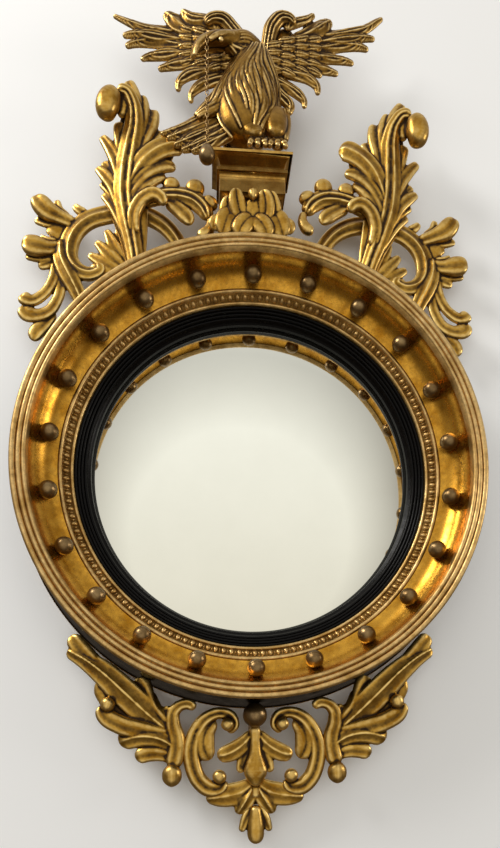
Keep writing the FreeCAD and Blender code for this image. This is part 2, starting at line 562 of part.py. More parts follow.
WING = (
    (9, ((10, 146, 14, 0), (34, 172, 24, 0), (60, 186, 20, -2), (90, 192, 11, -5))),
    (8, ((12, 146, 10, 3), (14, 180, 10, 5), (20, 212, 10, 7), (34, 234, 9, 7), (52, 240, 7, 5),
         (64, 232, 4, 4))),
    (4, ((44, 200, 9, 0), (66, 220, 9, -2), (86, 236, 8, -3), (96, 243, 4, -4))),
    (4, ((50, 192, 8, -2), (82, 212, 9, -4), (108, 228, 8, -6), (121, 237, 4, -7))),
    (4, ((40, 184, 9, -4), (90, 205, 10, -8), (145, 222, 8, -12), (195, 238, 3, -16))),
    (4, ((40, 178, 9, -2), (95, 189, 10, -6), (145, 196, 8, -9), (182, 202, 4, -12))),
    (4, ((40, 170, 9, 0), (90, 175, 10, -4), (135, 178, 8, -7), (173, 182, 4, -10))),
    (4, ((35, 160, 9, 2), (80, 161, 10, -1), (120, 160, 8, -4), (152, 162, 4, -6))),
    (4, ((30, 150, 9, 4), (65, 147, 10, 2), (100, 147, 8, 0), (129, 145, 4, -2))),
    (4, ((24, 140, 9, 5), (55, 133, 10, 6), (82, 127, 8, 6), (100, 112, 4, 6))),
    (4, ((20, 130, 9, 6), (45, 119, 9, 8), (66, 108, 8, 9), (81, 91, 4, 9))),
    (4, ((18, 118, 8, 7), (36, 104, 8, 9), (50, 90, 7, 10), (60, 74, 3, 10))),
)
PEDESTAL_FRONT = (
    (8, ((0, -6, 16, -3), (0, 16, 19, 0), (0, 34, 14, -3), (0, 50, 16, 0), (0, 57, 9, 2))),
    (7, ((22, 6, 8, -2), (30, 30, 9, -2), (30, 46, 9, 0), (34, 56, 5, 2))),
    (7, ((-22, 6, 8, -2), (-30, 30, 9, -2), (-30, 46, 9, 0), (-34, 56, 5, 2))),
)


def largest(shape):
    """The main solid of a cut piece, without crumbs."""
    return max(shape.Solids, key=lambda solid: solid.Volume)


def leaned(shape, foot, degrees):
    """Turns a piece in the plane of the wall, clockwise as seen from the front."""
    return shape.rotated(Vector(foot[0], 0, foot[1]), Vector(0, 1, 0), degrees)


# Crest: the leaves lie in front, the scrolls behind them are cut to fit, the fans fill in.
leaf_foot = ring_foot(size("leaf_angle"), 0)
lean = size("leaf_lean")
leaf = carving(LEAF, leaf_foot, size("crest_depth"))
scroll = seated(carving(SCROLL, ring_foot(size("scroll_angle"), 0), size("scroll_depth")))
fan = seated(carving(FAN, ring_foot(size("fan_angle"), 0), size("scroll_depth")))
leaves = {"right": largest(seated(leaned(leaf, leaf_foot, lean))),
          "left": largest(seated(leaned(mirrored(leaf), (-leaf_foot[0], leaf_foot[1]), lean)))}
scrolls = {"right": largest(scroll.cut(leaves["right"])),
           "left": largest(mirrored(scroll).cut(leaves["left"]))}
fans = {"right": fan.cut(leaves["right"]), "left": mirrored(fan).cut(leaves["left"])}
fans = {side: largest(fans[side].cut(scrolls[side])) for side in fans}

# Apron: sprays, ball, stem, C-scrolls, lower leaves and pendant, each cut to fit those before it.
apron_depth = size("apron_depth")
foot = (0, -RING)
spray = largest(seated(carving(SPRAY, ring_foot(180 - size("spray_angle"), 0), apron_depth)))
ball_centre = Vector(0, -apron_depth - size("apron_ball_forward"), -RING - size("apron_ball_drop"))
ball = seated(Part.makeSphere(size("apron_ball_radius"), ball_centre))
back_waste = block(REACH, -REACH, size("batten_thickness"), -2 * RING, 0)
stem = largest(seated(carving(DROP_STEM, foot, apron_depth)).cut(ball).cut(back_waste))
apron_scroll = seated(carving(APRON_SCROLL, foot, apron_depth)).cut(spray).cut(stem)
apron_scroll = largest(apron_scroll.cut(ball))
lower_leaves = carving(LOWER_LEAVES, foot, apron_depth).cut(stem)
lower_leaves = largest(lower_leaves.cut(apron_scroll).cut(mirrored(apron_scroll)))
pendant = largest(carving(PENDANT, foot, apron_depth).cut(lower_leaves).cut(stem))


# ---------------------------------------------------------------- the eagle's stand

def rectangle_loft(levels):
    """A carved stack; a level is (height, width, near depth, far depth)."""
    cuts = []
    for height, width, near, far in levels:
        corners = [Vector(x, -depth, height) for x, depth in
                   ((-width / 2, near), (width / 2, near), (width / 2, far), (-width / 2, far))]
        cuts.append(Part.makePolygon(corners + corners[:1]))
    return Part.makeLoft(cuts, True, True)


batten = size("batten_thickness")
pedestal_top = RING + size("pedestal_height")
block_top = pedestal_top + size("block_height")
cap_top = block_top + size("cap_height")
pedestal_front = batten + size("pedestal_depth")
waist = size("pedestal_waist_width")
pedestal = rectangle_loft((
    (RING - 14, size("pedestal_foot_width") - 12, batten, pedestal_front - 4),
    (RING + 10, size("pedestal_foot_width"), batten, pedestal_front),
    (RING + 24, waist + 4, batten, pedestal_front - 8),
    (RING + 36, waist, batten, pedestal_front - 10),
    (pedestal_top - 8, size("pedestal_top_width") - 6, batten, pedestal_front - 4),
    (pedestal_top, size("pedestal_top_width"), batten, pedestal_front),
))
pedestal = pedestal.fuse(carving(PEDESTAL_FRONT, (0, RING), pedestal_front - 2))
pedestal = pedestal.cut(frame_space(GAP))  # it stands on the batten, just clear of the ring
pedestal = largest(pedestal.cut(block(REACH, 0, REACH, pedestal_top, pedestal_top + REACH)))
plinth_block = rectangle_loft((
    (pedestal_top, size("block_width") - 8, batten, batten + size("block_depth") - 4),
    (pedestal_top + 5, size("block_width"), batten, batten + size("block_depth")),
    (block_top, size("block_width"), batten, batten + size("block_depth")),
))
cap_front = batten + size("cap_depth")
cap_spread = (size("cap_width") - size("cap_foot_width")) / 2
fillet = size("cap_fillet")
cap = rectangle_loft((
    (block_top, size("cap_foot_width") + 10, batten, cap_front - cap_spread + 5),
    (block_top + fillet, size("cap_foot_width") + 10, batten, cap_front - cap_spread + 5),
    (block_top + fillet + 1, size("cap_foot_width"), batten, cap_front - cap_spread),
    (cap_top - fillet - 10, size("cap_foot_width") + 4, batten, cap_front - cap_spread + 2),
    (cap_top - fillet, size("cap_width") - 6, batten, cap_front - 3),
    (cap_top - fillet + 1, size("cap_width"), batten, cap_front),
    (cap_top, size("cap_width"), batten, cap_front),
))

# ---------------------------------------------------------------- eagle

eagle_depth = size("eagle_depth")
perch = (0, cap_top)
plinth_space = block(REACH, -REACH, REACH, cap_top - REACH, cap_top)
eagle = largest(carving(BODY, perch, eagle_depth).cut(plinth_space))
legs = largest(carving(LEGS, perch, eagle_depth).cut(plinth_space).cut(eagle))
tilt = size("wing_tilt")
shoulder = (20, cap_top + 150)
wing = carving(WING, perch, eagle_depth)
wings = {"right": largest(leaned(wing, shoulder, -tilt).cut(eagle)),
         "left": largest(leaned(mirrored(wing), (-shoulder[0], shoulder[1]), -tilt).cut(eagle))}
tail = carving(TAIL, perch, eagle_depth).cut(eagle).cut(leaves["left"])
tail = largest(tail.cut(wings["left"]).cut(legs))


# ---------------------------------------------------------------- chain and drop

WIRE = size("wire_thickness")
LINK_LENGTH = size("link_length")
LINK_WIDTH = size("link_width")
PITCH = LINK_LENGTH - 2 * WIRE - size("link_play")
CHAIN = (-size("chain_offset"), size("chain_depth"))
LOOP_TOP = cap_top + size("staple_height")


def eight_sided(half_width, half_length, corner):
    outline = []
    for x, z in ((1, 1), (-1, 1), (-1, -1), (1, -1)):
        near_side = Vector(x * half_width, 0, z * (half_length - corner))
        near_end = Vector(x * (half_width - corner), 0, z * half_length)
        outline += [near_side, near_end] if x * z > 0 else [near_end, near_side]
    return Part.makePolygon(outline + outline[:1])


def link(index):
    """A link of square wire; even ones lie in the plane of the wall, odd ones stand across it."""
    corner = LINK_WIDTH * 0.3
    outer = Part.Face(eight_sided(LINK_WIDTH / 2, LINK_LENGTH / 2, corner))
    inner = Part.Face(eight_sided(LINK_WIDTH / 2 - WIRE, LINK_LENGTH / 2 - WIRE, corner - WIRE * 0.55))
    ring = outer.cut(inner).extrude(Vector(0, WIRE, 0))
    ring.translate(Vector(0, -WIRE / 2, 0))
    if index % 2:
        ring.rotate(Vector(0, 0, 0), Vector(0, 0, 1), 90)
    ring.translate(Vector(CHAIN[0], -CHAIN[1], LOOP_TOP - PITCH * (index + 1)))
    return ring


def stem_wire(low, high, clearance=0.0):
    """A short upright wire on the chain's line."""
    width = WIRE + 2 * clearance
    return block(width, CHAIN[1] - width / 2, CHAIN[1] + width / 2, low, high, CHAIN[0])


first_upper = 1
first_lower = first_upper + round(size("upper_links"))
eye_index = first_lower + round(size("lower_links"))
staple_low = LOOP_TOP + LINK_LENGTH / 2 - WIRE / 2
staple_high = staple_low + size("staple_shank")
staple = link(-1).fuse(stem_wire(staple_low, staple_high))
eagle = largest(eagle.cut(stem_wire(staple_low, staple_high + size("dowel_gap"), size("dowel_gap"))))

drop_top = LOOP_TOP - PITCH * (eye_index + 1) - LINK_LENGTH / 2
drop_radius = size("drop_radius")
neck = drop_radius * 0.35
widest = drop_top - size("drop_height") + drop_radius
drop_face = Part.Face(Part.Wire([
    Part.LineSegment(Vector(0, 0, drop_top), Vector(neck, 0, drop_top)).toShape(),
    Part.Arc(Vector(neck, 0, drop_top), Vector(drop_radius * 0.8, 0, widest + drop_radius * 0.75),
             Vector(drop_radius, 0, widest)).toShape(),
    Part.Arc(Vector(drop_radius, 0, widest), Vector(drop_radius * math.sqrt(0.5), 0,
             widest - drop_radius * math.sqrt(0.5)), Vector(0, 0, widest - drop_radius)).toShape(),
    Part.LineSegment(Vector(0, 0, widest - drop_radius), Vector(0, 0, drop_top)).toShape(),
]))
drop = drop_face.revolve(Vector(0, 0, 0), Vector(0, 0, 1), 360)
drop.translate(Vector(CHAIN[0], -CHAIN[1], 0))
eye_low = drop_top - size("eye_shank")
eye = link(eye_index).fuse(stem_wire(eye_low, drop_top + WIRE / 2))
drop = drop.cut(stem_wire(eye_low - size("dowel_gap"), drop_top + WIRE, size("dowel_gap")))


# ---------------------------------------------------------------- pegs, battens and screws

def peg(degrees, depth, gap=0.0):
    """A radial peg, half in the ring and half in the carving."""
    side_share = (depth - size("carcass_edge")) / (RIM_SEAT - size("carcass_edge"))
    surface = RING + (size("carcass_front_radius") - RING) * side_share
    half = size("dowel_length") / 2 + gap
    start = polar(surface - half, degrees, depth)
    end = polar(surface + half, degrees, depth)
    return rod(size("dowel_radius") + gap, start, end)


leaf_pegs = [(side * size("leaf_angle"), size("crest_depth") - 3) for side in (-1, 1)]
scroll_pegs = [(side * size("scroll_angle"), size("scroll_depth")) for side in (-1, 1)]
spray_pegs = [(side * (180 - size("spray_angle") + 3), apron_depth - 2) for side in (-1, 1)]
gap = size("dowel_gap")
peg_holes = Part.makeCompound([peg(turn, depth, gap) for turn, depth in
                               leaf_pegs + scroll_pegs + spray_pegs])

lap_z = RING - size("batten_lap")
head_inset = size("batten_screw_inset")
spread = size("batten_screw_spread")
batten_top = pedestal_top + size("crest_batten_rise")
crest_batten = block(size("crest_batten_width"), 0, batten, lap_z, batten_top)
apron_end = RING + size("apron_batten_length")
apron_batten = block(size("apron_batten_width"), 0, batten, -apron_end, -lap_z)
crest_heads = [(-spread, 0, RING - head_inset), (spread, 0, RING - head_inset),
               (0, 0, RING + size("pedestal_height") / 2), (0, 0, batten_top - spread)]
apron_heads = [(0, 0, -RING + head_inset), (0, 0, -RING + 2 * head_inset),
               (0, 0, -RING - 3 * head_inset), (0, 0, -apron_end + spread)]
crest_screws, crest_holes = screw_set(crest_heads, (0, -1, 0))
apron_screws, apron_holes = screw_set(apron_heads, (0, -1, 0))
batten_holes = Part.makeCompound(crest_holes + apron_holes)
notches = [block(size("crest_batten_width") + 2 * GAP, 0, batten, lap_z - GAP, RING + GAP),
           block(size("apron_batten_width") + 2 * GAP, 0, batten, -RING - GAP, -lap_z + GAP)]

ring_cuts = doc.addObject("Part::Feature", "carcass_cuts")
ring_cuts.Shape = Part.makeCompound([plate_seat, pocket, peg_holes, batten_holes]
                                    + notches + board_holes + plate_holes)
back_ring = doc.addObject("Part::Cut", "back_ring")
back_ring.Base = carcass
back_ring.Tool = ring_cuts
doc.recompute()
keep(back_ring, "back_ring")

for side in ("left", "right"):
    feature("crest_spray_" + side, leaves[side].cut(peg_holes))
    feature("crest_scroll_" + side, scrolls[side].cut(peg_holes))
    feature("crest_fan_" + side, fans[side])
    feature("eagle_wing_" + side, wings[side])
feature("apron_spray_right", spray.cut(peg_holes))
feature("apron_spray_left", mirrored(spray).cut(peg_holes))
feature("apron_scroll_right", apron_scroll)
feature("apron_scroll_left", mirrored(apron_scroll))
feature("apron_ball", ball)
feature("apron_drop", stem.cut(batten_holes))
feature("apron_lower_leaves", lower_leaves)
feature("apron_pendant", pendant)
feature("crest_pegs", Part.makeCompound([peg(*place) for place in leaf_pegs + scroll_pegs]))
feature("apron_pegs", Part.makeCompound([peg(*place) for place in spray_pegs]))
feature("crest_batten", crest_batten.cut(batten_holes))
feature("apron_batten", apron_batten.cut(batten_holes))
feature("crest_batten_screws", Part.makeCompound(crest_screws))
feature("apron_batten_screws", Part.makeCompound(apron_screws))
feature("pedestal_acanthus", pedestal.cut(batten_holes))
feature("plinth_block", plinth_block.cut(batten_holes))
feature("plinth_cap", cap)
feature("eagle_body", eagle)
feature("eagle_legs", legs)
feature("eagle_tail", tail)
feature("beak_staple", staple)
feature("chain_top_link", Part.makeCompound([link(0)]))
feature("chain_upper", Part.makeCompound([link(i) for i in range(first_upper, first_lower)]))
feature("chain_lower", Part.makeCompound([link(i) for i in range(first_lower, eye_index)]))
feature("drop_eye", eye)
feature("drop_ball", drop)

# ---------------------------------------------------------------- checks and files

doc.recompute()
for thing in doc.Objects:
    if "Invalid" in thing.State or "Error" in thing.State:
        raise ValueError("%s failed: %s" % (thing.Label, thing.State))
for thing in PARTS:
    if thing.Shape.isNull() or not thing.Shape.isValid() or not thing.Shape.Solids:
        raise ValueError("%s has no valid shape" % thing.Label)
os.makedirs("parts", exist_ok=True)
for thing in PARTS:
    thing.Shape.exportStep("parts/%s.step" % thing.Label)
    print("%-22s %3d solids %10.0f mm3" % (thing.Label, len(thing.Shape.Solids), thing.Shape.Volume))
print("pivots: staple %.2f, upper %.2f, lower %.2f, drop %.2f" % tuple(
    LOOP_TOP - PITCH * index - LINK_LENGTH / 2 + WIRE / 2 for index in (0, 1, first_lower, eye_index)))
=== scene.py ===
# %% [markdown]
# # A girandole mirror, built piece by piece
# A girandole is a round convex mirror in a deep gilt frame. A ring of balls sits in its hollow,
# a carved crest stands on top under an eagle, and a carved apron hangs below. The solid model
# fixes every size and place. This notebook dresses that model: it turns the mouldings, carves
# the leaves and the feathers, and gives each surface the finish the real one has.

# %% Load the solid model
import math

import bmesh
import bpy
import numpy as np
from mathutils import Matrix, Vector


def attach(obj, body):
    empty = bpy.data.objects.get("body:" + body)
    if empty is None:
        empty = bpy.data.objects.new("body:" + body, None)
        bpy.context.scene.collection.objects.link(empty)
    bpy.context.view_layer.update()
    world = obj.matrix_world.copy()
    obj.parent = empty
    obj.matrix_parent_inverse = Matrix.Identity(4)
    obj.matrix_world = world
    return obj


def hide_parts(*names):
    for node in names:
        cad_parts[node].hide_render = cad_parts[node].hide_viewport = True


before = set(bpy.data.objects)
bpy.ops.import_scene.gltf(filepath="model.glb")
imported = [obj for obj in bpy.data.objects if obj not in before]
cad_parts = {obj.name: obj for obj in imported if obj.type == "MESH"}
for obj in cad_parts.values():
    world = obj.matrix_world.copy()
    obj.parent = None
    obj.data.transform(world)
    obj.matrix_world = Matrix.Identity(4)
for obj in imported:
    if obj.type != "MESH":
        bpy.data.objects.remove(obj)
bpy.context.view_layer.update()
MM = 0.001
print("pieces of the solid model:", len(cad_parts))

# %% [markdown]
# ## The camera
# The picture was taken from close by, a little left of the middle and below it, which makes the
# frame look wider at the foot. The camera stands at that place. Its picture is shifted upwards,
# as with a view camera, so that the wall stays upright while the crest still fits in.

# %% Stand the camera
CAMERA_PLACE = (-60.0, -940.0, -305.0)
CAMERA_PITCH, CAMERA_YAW, CAMERA_ROLL = 5.96, -5.37, 0.61
FOCAL_PIXELS = 686.0
PICTURE = (500.0, 848.0)
PRINCIPAL_POINT = (273.0, 627.0)
SENSOR = 36.0

camera_data = bpy.data.cameras.new("camera")
camera_data.sensor_width = SENSOR
camera_data.lens = FOCAL_PIXELS * SENSOR / PICTURE[1]
camera_data.shift_x = (PICTURE[0] / 2 - PRINCIPAL_POINT[0]) / PICTURE[1]
camera_data.shift_y = (PRINCIPAL_POINT[1] - PICTURE[1] / 2) / PICTURE[1]
camera = bpy.data.objects.new("camera", camera_data)
bpy.context.scene.collection.objects.link(camera)
turn = (Matrix.Rotation(math.radians(CAMERA_YAW), 4, "Z")
        @ Matrix.Rotation(math.radians(CAMERA_PITCH), 4, "X")
        @ Matrix.Rotation(math.radians(CAMERA_ROLL), 4, "Y")
        @ Matrix.Rotation(math.radians(90), 4, "X"))
camera.matrix_world = Matrix.Translation(Vector(CAMERA_PLACE) * MM) @ turn
bpy.context.scene.camera = camera
bpy.context.scene.view_settings.view_transform = "Standard"
print("lens %.1f mm" % camera_data.lens)

# %% [markdown]
# ## Wiring shader nodes
# Every finish here is made of nodes, with no painted pictures. Two small helpers keep that
# readable. `wire` adds a node and fills its inputs with numbers, colours or other nodes' outputs.
# `begin_group` opens a node group, which is a finish's recipe that several materials share.

# %% Helpers for nodes
def wire(tree, kind, sources=None, **settings):
    """Adds a node; sources maps an input's name or place to a value or to another node's output."""
    node = tree.nodes.new(kind)
    for key, value in settings.items():
        setattr(node, key, value)
    for label, source in (sources or {}).items():
        if isinstance(source, bpy.types.NodeSocket):
            tree.links.new(source, node.inputs[label])
        else:
            node.inputs[label].default_value = source
    return node


def begin_group(name, inputs, outputs):
    """Opens a node group with named sockets; returns its tree, its inputs and its output node."""
    tree = bpy.data.node_groups.new(name, "ShaderNodeTree")
    for label, kind, value in inputs:
        socket = tree.interface.new_socket(name=label, in_out="INPUT", socket_type=kind)
        socket.default_value = value
    for label, kind in outputs:
        tree.interface.new_socket(name=label, in_out="OUTPUT", socket_type=kind)
    entry = tree.nodes.new("NodeGroupInput")
    return tree, entry.outputs, tree.nodes.new("NodeGroupOutput")


def noise(tree, place, scale, detail=4.0, roughness=0.5):
    """Cloudy noise; scale counts patches to the metre."""
    return wire(tree, "ShaderNodeTexNoise", {"Vector": place, "Scale": scale, "Detail": detail,
                                             "Roughness": roughness}).outputs["Fac"]


def spread(tree, value, low, high, start=0.0, end=1.0):
    """Stretches the part of a value between low and high over start to end, and clamps it."""
    return wire(tree, "ShaderNodeMapRange", {"Value": value, "From Min": low, "From Max": high,
                                             "To Min": start, "To Max": end}).outputs["Result"]


def blend(tree, share, first, second):
    """Mixes two colours."""
    mixer = wire(tree, "ShaderNodeMix", data_type="RGBA")
    for place, source in ((0, share), (6, first), (7, second)):
        if isinstance(source, bpy.types.NodeSocket):
            tree.links.new(source, mixer.inputs[place])
        else:
            mixer.inputs[place].default_value = source
    return mixer.outputs[2]


def maths(tree, operation, first, second=0.0, third=0.0, clamp=False):
    return wire(tree, "ShaderNodeMath", {0: first, 1: second, 2: third}, operation=operation,
                use_clamp=clamp).outputs[0]


def plug(tree, node, **sources):
    """Links outputs to a node's named sockets; an underscore stands for a space."""
    for label, source in sources.items():
        tree.links.new(source, node.inputs[label.replace("_", " ")])


def object_place(tree):
    return wire(tree, "ShaderNodeTexCoord").outputs["Object"]


def bumped(tree, height, strength, distance):
    return wire(tree, "ShaderNodeBump", {"Height": height, "Strength": strength,
                                         "Distance": distance}).outputs["Normal"]


def rgb(red, green, blue):
    return (red, green, blue, 1.0)


print("node helpers ready")

# %% [markdown]
# ## Water gilding
# The carving is pine or lime under gesso and red bole, with gold leaf laid on in water. Two
# hundred years of dusting leave it bright on the ridges and brown in the hollows, and the recipe
# paints light and shade on top of that: the bright rub on ridges is partly wear and partly a
# painted highlight, and the near-black patina in hollows is partly real patina and partly painted
# shade. A flat gold colour would miss all of that, so the recipe mixes five things: clouds of paler
# and deeper leaf, specks where the bole shows, the bright rub with its painted highlight on ridges,
# and the patina with its painted shade in hollows. What is a ridge and what is a hollow is measured
# on each carved mesh below and stored on it as `hollow`.

# %% The gilding recipe
tree, given, result = begin_group(
    "gilding",
    [("Leaf", "NodeSocketColor", rgb(0.50, 0.285, 0.050)),
     ("Deep Leaf", "NodeSocketColor", rgb(0.27, 0.125, 0.010)),
     # The bright leaf on the ridges is partly rubbed gold and partly a painted highlight.
     ("Bright Leaf", "NodeSocketColor", rgb(0.90, 0.65, 0.24)),
     ("Bole", "NodeSocketColor", rgb(0.16, 0.05, 0.02)),
     # The patina colour is near black: partly real patina in the hollows, partly painted shade for
     # the recesses.
     ("Patina And Shade", "NodeSocketColor", rgb(0.030, 0.012, 0.001)),
     ("Age", "NodeSocketFloat", 0.5),
     ("Polish", "NodeSocketFloat", 0.30),
     ("Specks", "NodeSocketFloat", 0.5)],
    [("Color", "NodeSocketColor"), ("Roughness", "NodeSocketFloat"),
     ("Metallic", "NodeSocketFloat"), ("Height", "NodeSocketFloat")])
# Where the hollows take the patina and its painted shade, and where the ridges take the rubbed gold
# and its painted highlight.
PATINA_SHADE_START, PATINA_SHADE_FULL = -0.12, 0.50
RUB_HIGHLIGHT_START, RUB_HIGHLIGHT_FULL = 0.20, 1.10
PATINA_SHADE_AT_NO_AGE, PATINA_SHADE_BY_AGE = 0.55, 0.6

place = object_place(tree)
hollow = wire(tree, "ShaderNodeAttribute", attribute_name="hollow").outputs["Fac"]
clouds = noise(tree, place, 38.0, 6.0, 0.62)
grime = noise(tree, place, 160.0, 5.0, 0.65)
crumbs = noise(tree, place, 900.0, 3.0, 0.6)
uneven = maths(tree, "MULTIPLY_ADD", grime, 0.7, -0.35)
# Hollows plus random grime: this drives the patina and the painted shade in the recesses.
settled = maths(tree, "ADD", hollow, uneven)
patina_and_shade_share = spread(tree, settled, PATINA_SHADE_START, PATINA_SHADE_FULL)
# Painted highlight: ridges, with random grime, get the bright leaf colour, partly rubbed wear and
# partly highlight painted on.
rub_and_highlight = spread(tree, maths(tree, "SUBTRACT", uneven, hollow), RUB_HIGHLIGHT_START, RUB_HIGHLIGHT_FULL)
speck_share = maths(tree, "MULTIPLY", spread(tree, crumbs, 0.60, 0.68), given["Specks"])
# This input scales how dark the hollows get, real patina and painted shade alike.
patina_and_shade_strength = maths(tree, "MULTIPLY_ADD", given["Age"], PATINA_SHADE_BY_AGE, PATINA_SHADE_AT_NO_AGE)
patina_and_painted_shade = maths(tree, "MULTIPLY", patina_and_shade_share, patina_and_shade_strength, clamp=True)
colour = blend(tree, spread(tree, clouds, 0.40, 0.66), given["Leaf"], given["Deep Leaf"])
colour = blend(tree, speck_share, colour, given["Bole"])
colour = blend(tree, rub_and_highlight, colour, given["Bright Leaf"])
colour = blend(tree, patina_and_painted_shade, colour, given["Patina And Shade"])
dull = maths(tree, "MULTIPLY_ADD", patina_and_painted_shade, 0.25, given["Polish"])
rough = maths(tree, "MULTIPLY_ADD", grime, 0.10, dull)
metal = maths(tree, "SUBTRACT", 1.0, maths(tree, "MULTIPLY", patina_and_painted_shade, 0.30), clamp=True)
metal = maths(tree, "SUBTRACT", metal, maths(tree, "MULTIPLY", speck_share, 0.6), clamp=True)
plug(tree, result, Color=colour, Roughness=rough, Metallic=metal,
     Height=maths(tree, "MULTIPLY_ADD", crumbs, 0.35, grime))
gilding = tree
print("gilding recipe:", len(tree.nodes), "nodes")

# %% [markdown]
# ## Gilt materials
# One recipe, several finishes. The cove is burnished smooth and orange, the rim is paler and
# streaked from handling, the balls have gone dull like bronze, and the eagle is the darkest.

# %% Gilt materials from the recipe
def gilt(name, bump=0.25, **values):
    """A material that wires the gilding recipe into a Principled shader."""
    made = bpy.data.materials.new(name)
    made.use_nodes = True
    nodes = made.node_tree
    shader = nodes.nodes["Principled BSDF"]
    recipe = wire(nodes, "ShaderNodeGroup", node_tree=gilding)
    for label, value in values.items():
        recipe.inputs[label.replace("_", " ")].default_value = value
    plug(nodes, shader, Base_Color=recipe.outputs["Color"], Roughness=recipe.outputs["Roughness"],
         Metallic=recipe.outputs["Metallic"],
         Normal=bumped(nodes, recipe.outputs["Height"], bump, 0.6 * MM))
    return made


carved_gilt = gilt("carved_gilt", Age=0.75, Specks=0.4)
eagle_gilt = gilt("eagle_gilt", Leaf=rgb(0.34, 0.185, 0.035), Deep_Leaf=rgb(0.16, 0.075, 0.008),
                  Bright_Leaf=rgb(0.84, 0.60, 0.25), Age=0.9, Specks=0.5)
cove_gilt = gilt("cove_gilt", 0.12, Leaf=rgb(0.72, 0.37, 0.045), Deep_Leaf=rgb(0.44, 0.19, 0.012),
                 Age=0.5, Specks=0.8, Polish=0.18)
rim_gilt = gilt("rim_gilt", 0.2, Leaf=rgb(0.80, 0.55, 0.23), Deep_Leaf=rgb(0.52, 0.31, 0.09),
                Bright_Leaf=rgb(0.95, 0.76, 0.44), Age=0.7, Specks=0.7)
# A near-black gilt for the ring in the carved band's bed: painted shade between the leaves.
bed_shade_gilt = gilt("bed_shade_gilt", 0.4, Leaf=rgb(0.20, 0.11, 0.025), Deep_Leaf=rgb(0.10, 0.045, 0.006),
                Age=0.9)
plinth_gilt = gilt("plinth_gilt", 0.2, Leaf=rgb(0.74, 0.45, 0.11), Deep_Leaf=rgb(0.44, 0.22, 0.035),
                   Age=0.7, Specks=0.7)
ball_gilt = gilt("ball_gilt", 0.4, Leaf=rgb(0.30, 0.20, 0.09), Deep_Leaf=rgb(0.17, 0.10, 0.035),
                 Age=0.7, Specks=1.0, Polish=0.24)
print("gilt materials:", [m.name for m in (carved_gilt, eagle_gilt, cove_gilt, rim_gilt, bed_shade_gilt,
                                           plinth_gilt, ball_gilt)])

# %% [markdown]
# ## Ebony black, silvered glass, bare wood, brass and steel
# The slip round the glass and the outer side are ebonised: black stain under a thin satin
# varnish, which shows faint brush streaks and a brown tone where it is worn. The glass is silvered
# on its back, so it is simply a very smooth metal. The back is bare pine, which nobody sees from
# the front but which has grain all the same.

# %% Plain finishes
def plain(name, metallic=0.0, **values):
    """A material with a Principled shader; values are set on the shader's own sockets."""
    made = bpy.data.materials.new(name)
    made.use_nodes = True
    shader = made.node_tree.nodes["Principled BSDF"]
    shader.inputs["Metallic"].default_value = metallic
    for label, value in values.items():
        shader.inputs[label.replace("_", " ")].default_value = value
    return made, made.node_tree, shader


def ebony(name, gilt_edge=None):
    """Satin black. With gilt_edge, what lies nearer the wall than that depth is gilt instead."""
    made, nodes, shader = plain(name, Specular_IOR_Level=0.10)
    where = object_place(nodes)
    brushed = noise(nodes, where, 70.0, 6.0, 0.7)
    scuffs = spread(nodes, noise(nodes, where, 420.0, 4.0, 0.7), 0.60, 0.74)
    colour = blend(nodes, scuffs, rgb(0.0025, 0.002, 0.0018), rgb(0.02, 0.012, 0.006))
    rough = spread(nodes, brushed, 0.3, 0.75, 0.20, 0.42)
    if gilt_edge is not None:
        depth = wire(nodes, "ShaderNodeSeparateXYZ", {0: where}).outputs["Y"]
        share = maths(nodes, "GREATER_THAN", depth, -gilt_edge)
        recipe = wire(nodes, "ShaderNodeGroup", node_tree=gilding)
        recipe.inputs["Leaf"].default_value = rgb(0.60, 0.38, 0.14)
        colour = blend(nodes, share, colour, recipe.outputs["Color"])
        plug(nodes, shader, Metallic=maths(nodes, "MULTIPLY", share, recipe.outputs["Metallic"]))
    plug(nodes, shader, Base_Color=colour, Roughness=rough,
         Normal=bumped(nodes, brushed, 0.08, 0.8 * MM))
    return made


def grained(name, pale, dark, along):
    """Bare wood; along is the mapping scale that draws the noise out into grain."""
    made, nodes, shader = plain(name)
    where = object_place(nodes)
    drawn = wire(nodes, "ShaderNodeMapping", {"Vector": where, "Scale": along}).outputs["Vector"]
    grain = noise(nodes, drawn, 90.0, 8.0, 0.6)
    colour = blend(nodes, spread(nodes, grain, 0.35, 0.65), pale, dark)
    rough = spread(nodes, grain, 0.3, 0.7, 0.55, 0.75)
    plug(nodes, shader, Base_Color=colour, Roughness=rough,
         Normal=bumped(nodes, grain, 0.3, 0.5 * MM))
    return made


def tarnished(name, clean, dull, scale=300.0):
    """Old metal: clean where it is handled, dull in patches."""
    made, nodes, shader = plain(name, metallic=1.0)
    where = object_place(nodes)
    patches = noise(nodes, where, scale, 5.0, 0.6)
    plug(nodes, shader, Base_Color=blend(nodes, spread(nodes, patches, 0.38, 0.62), clean, dull),
         Roughness=spread(nodes, patches, 0.3, 0.7, 0.25, 0.5))
    return made


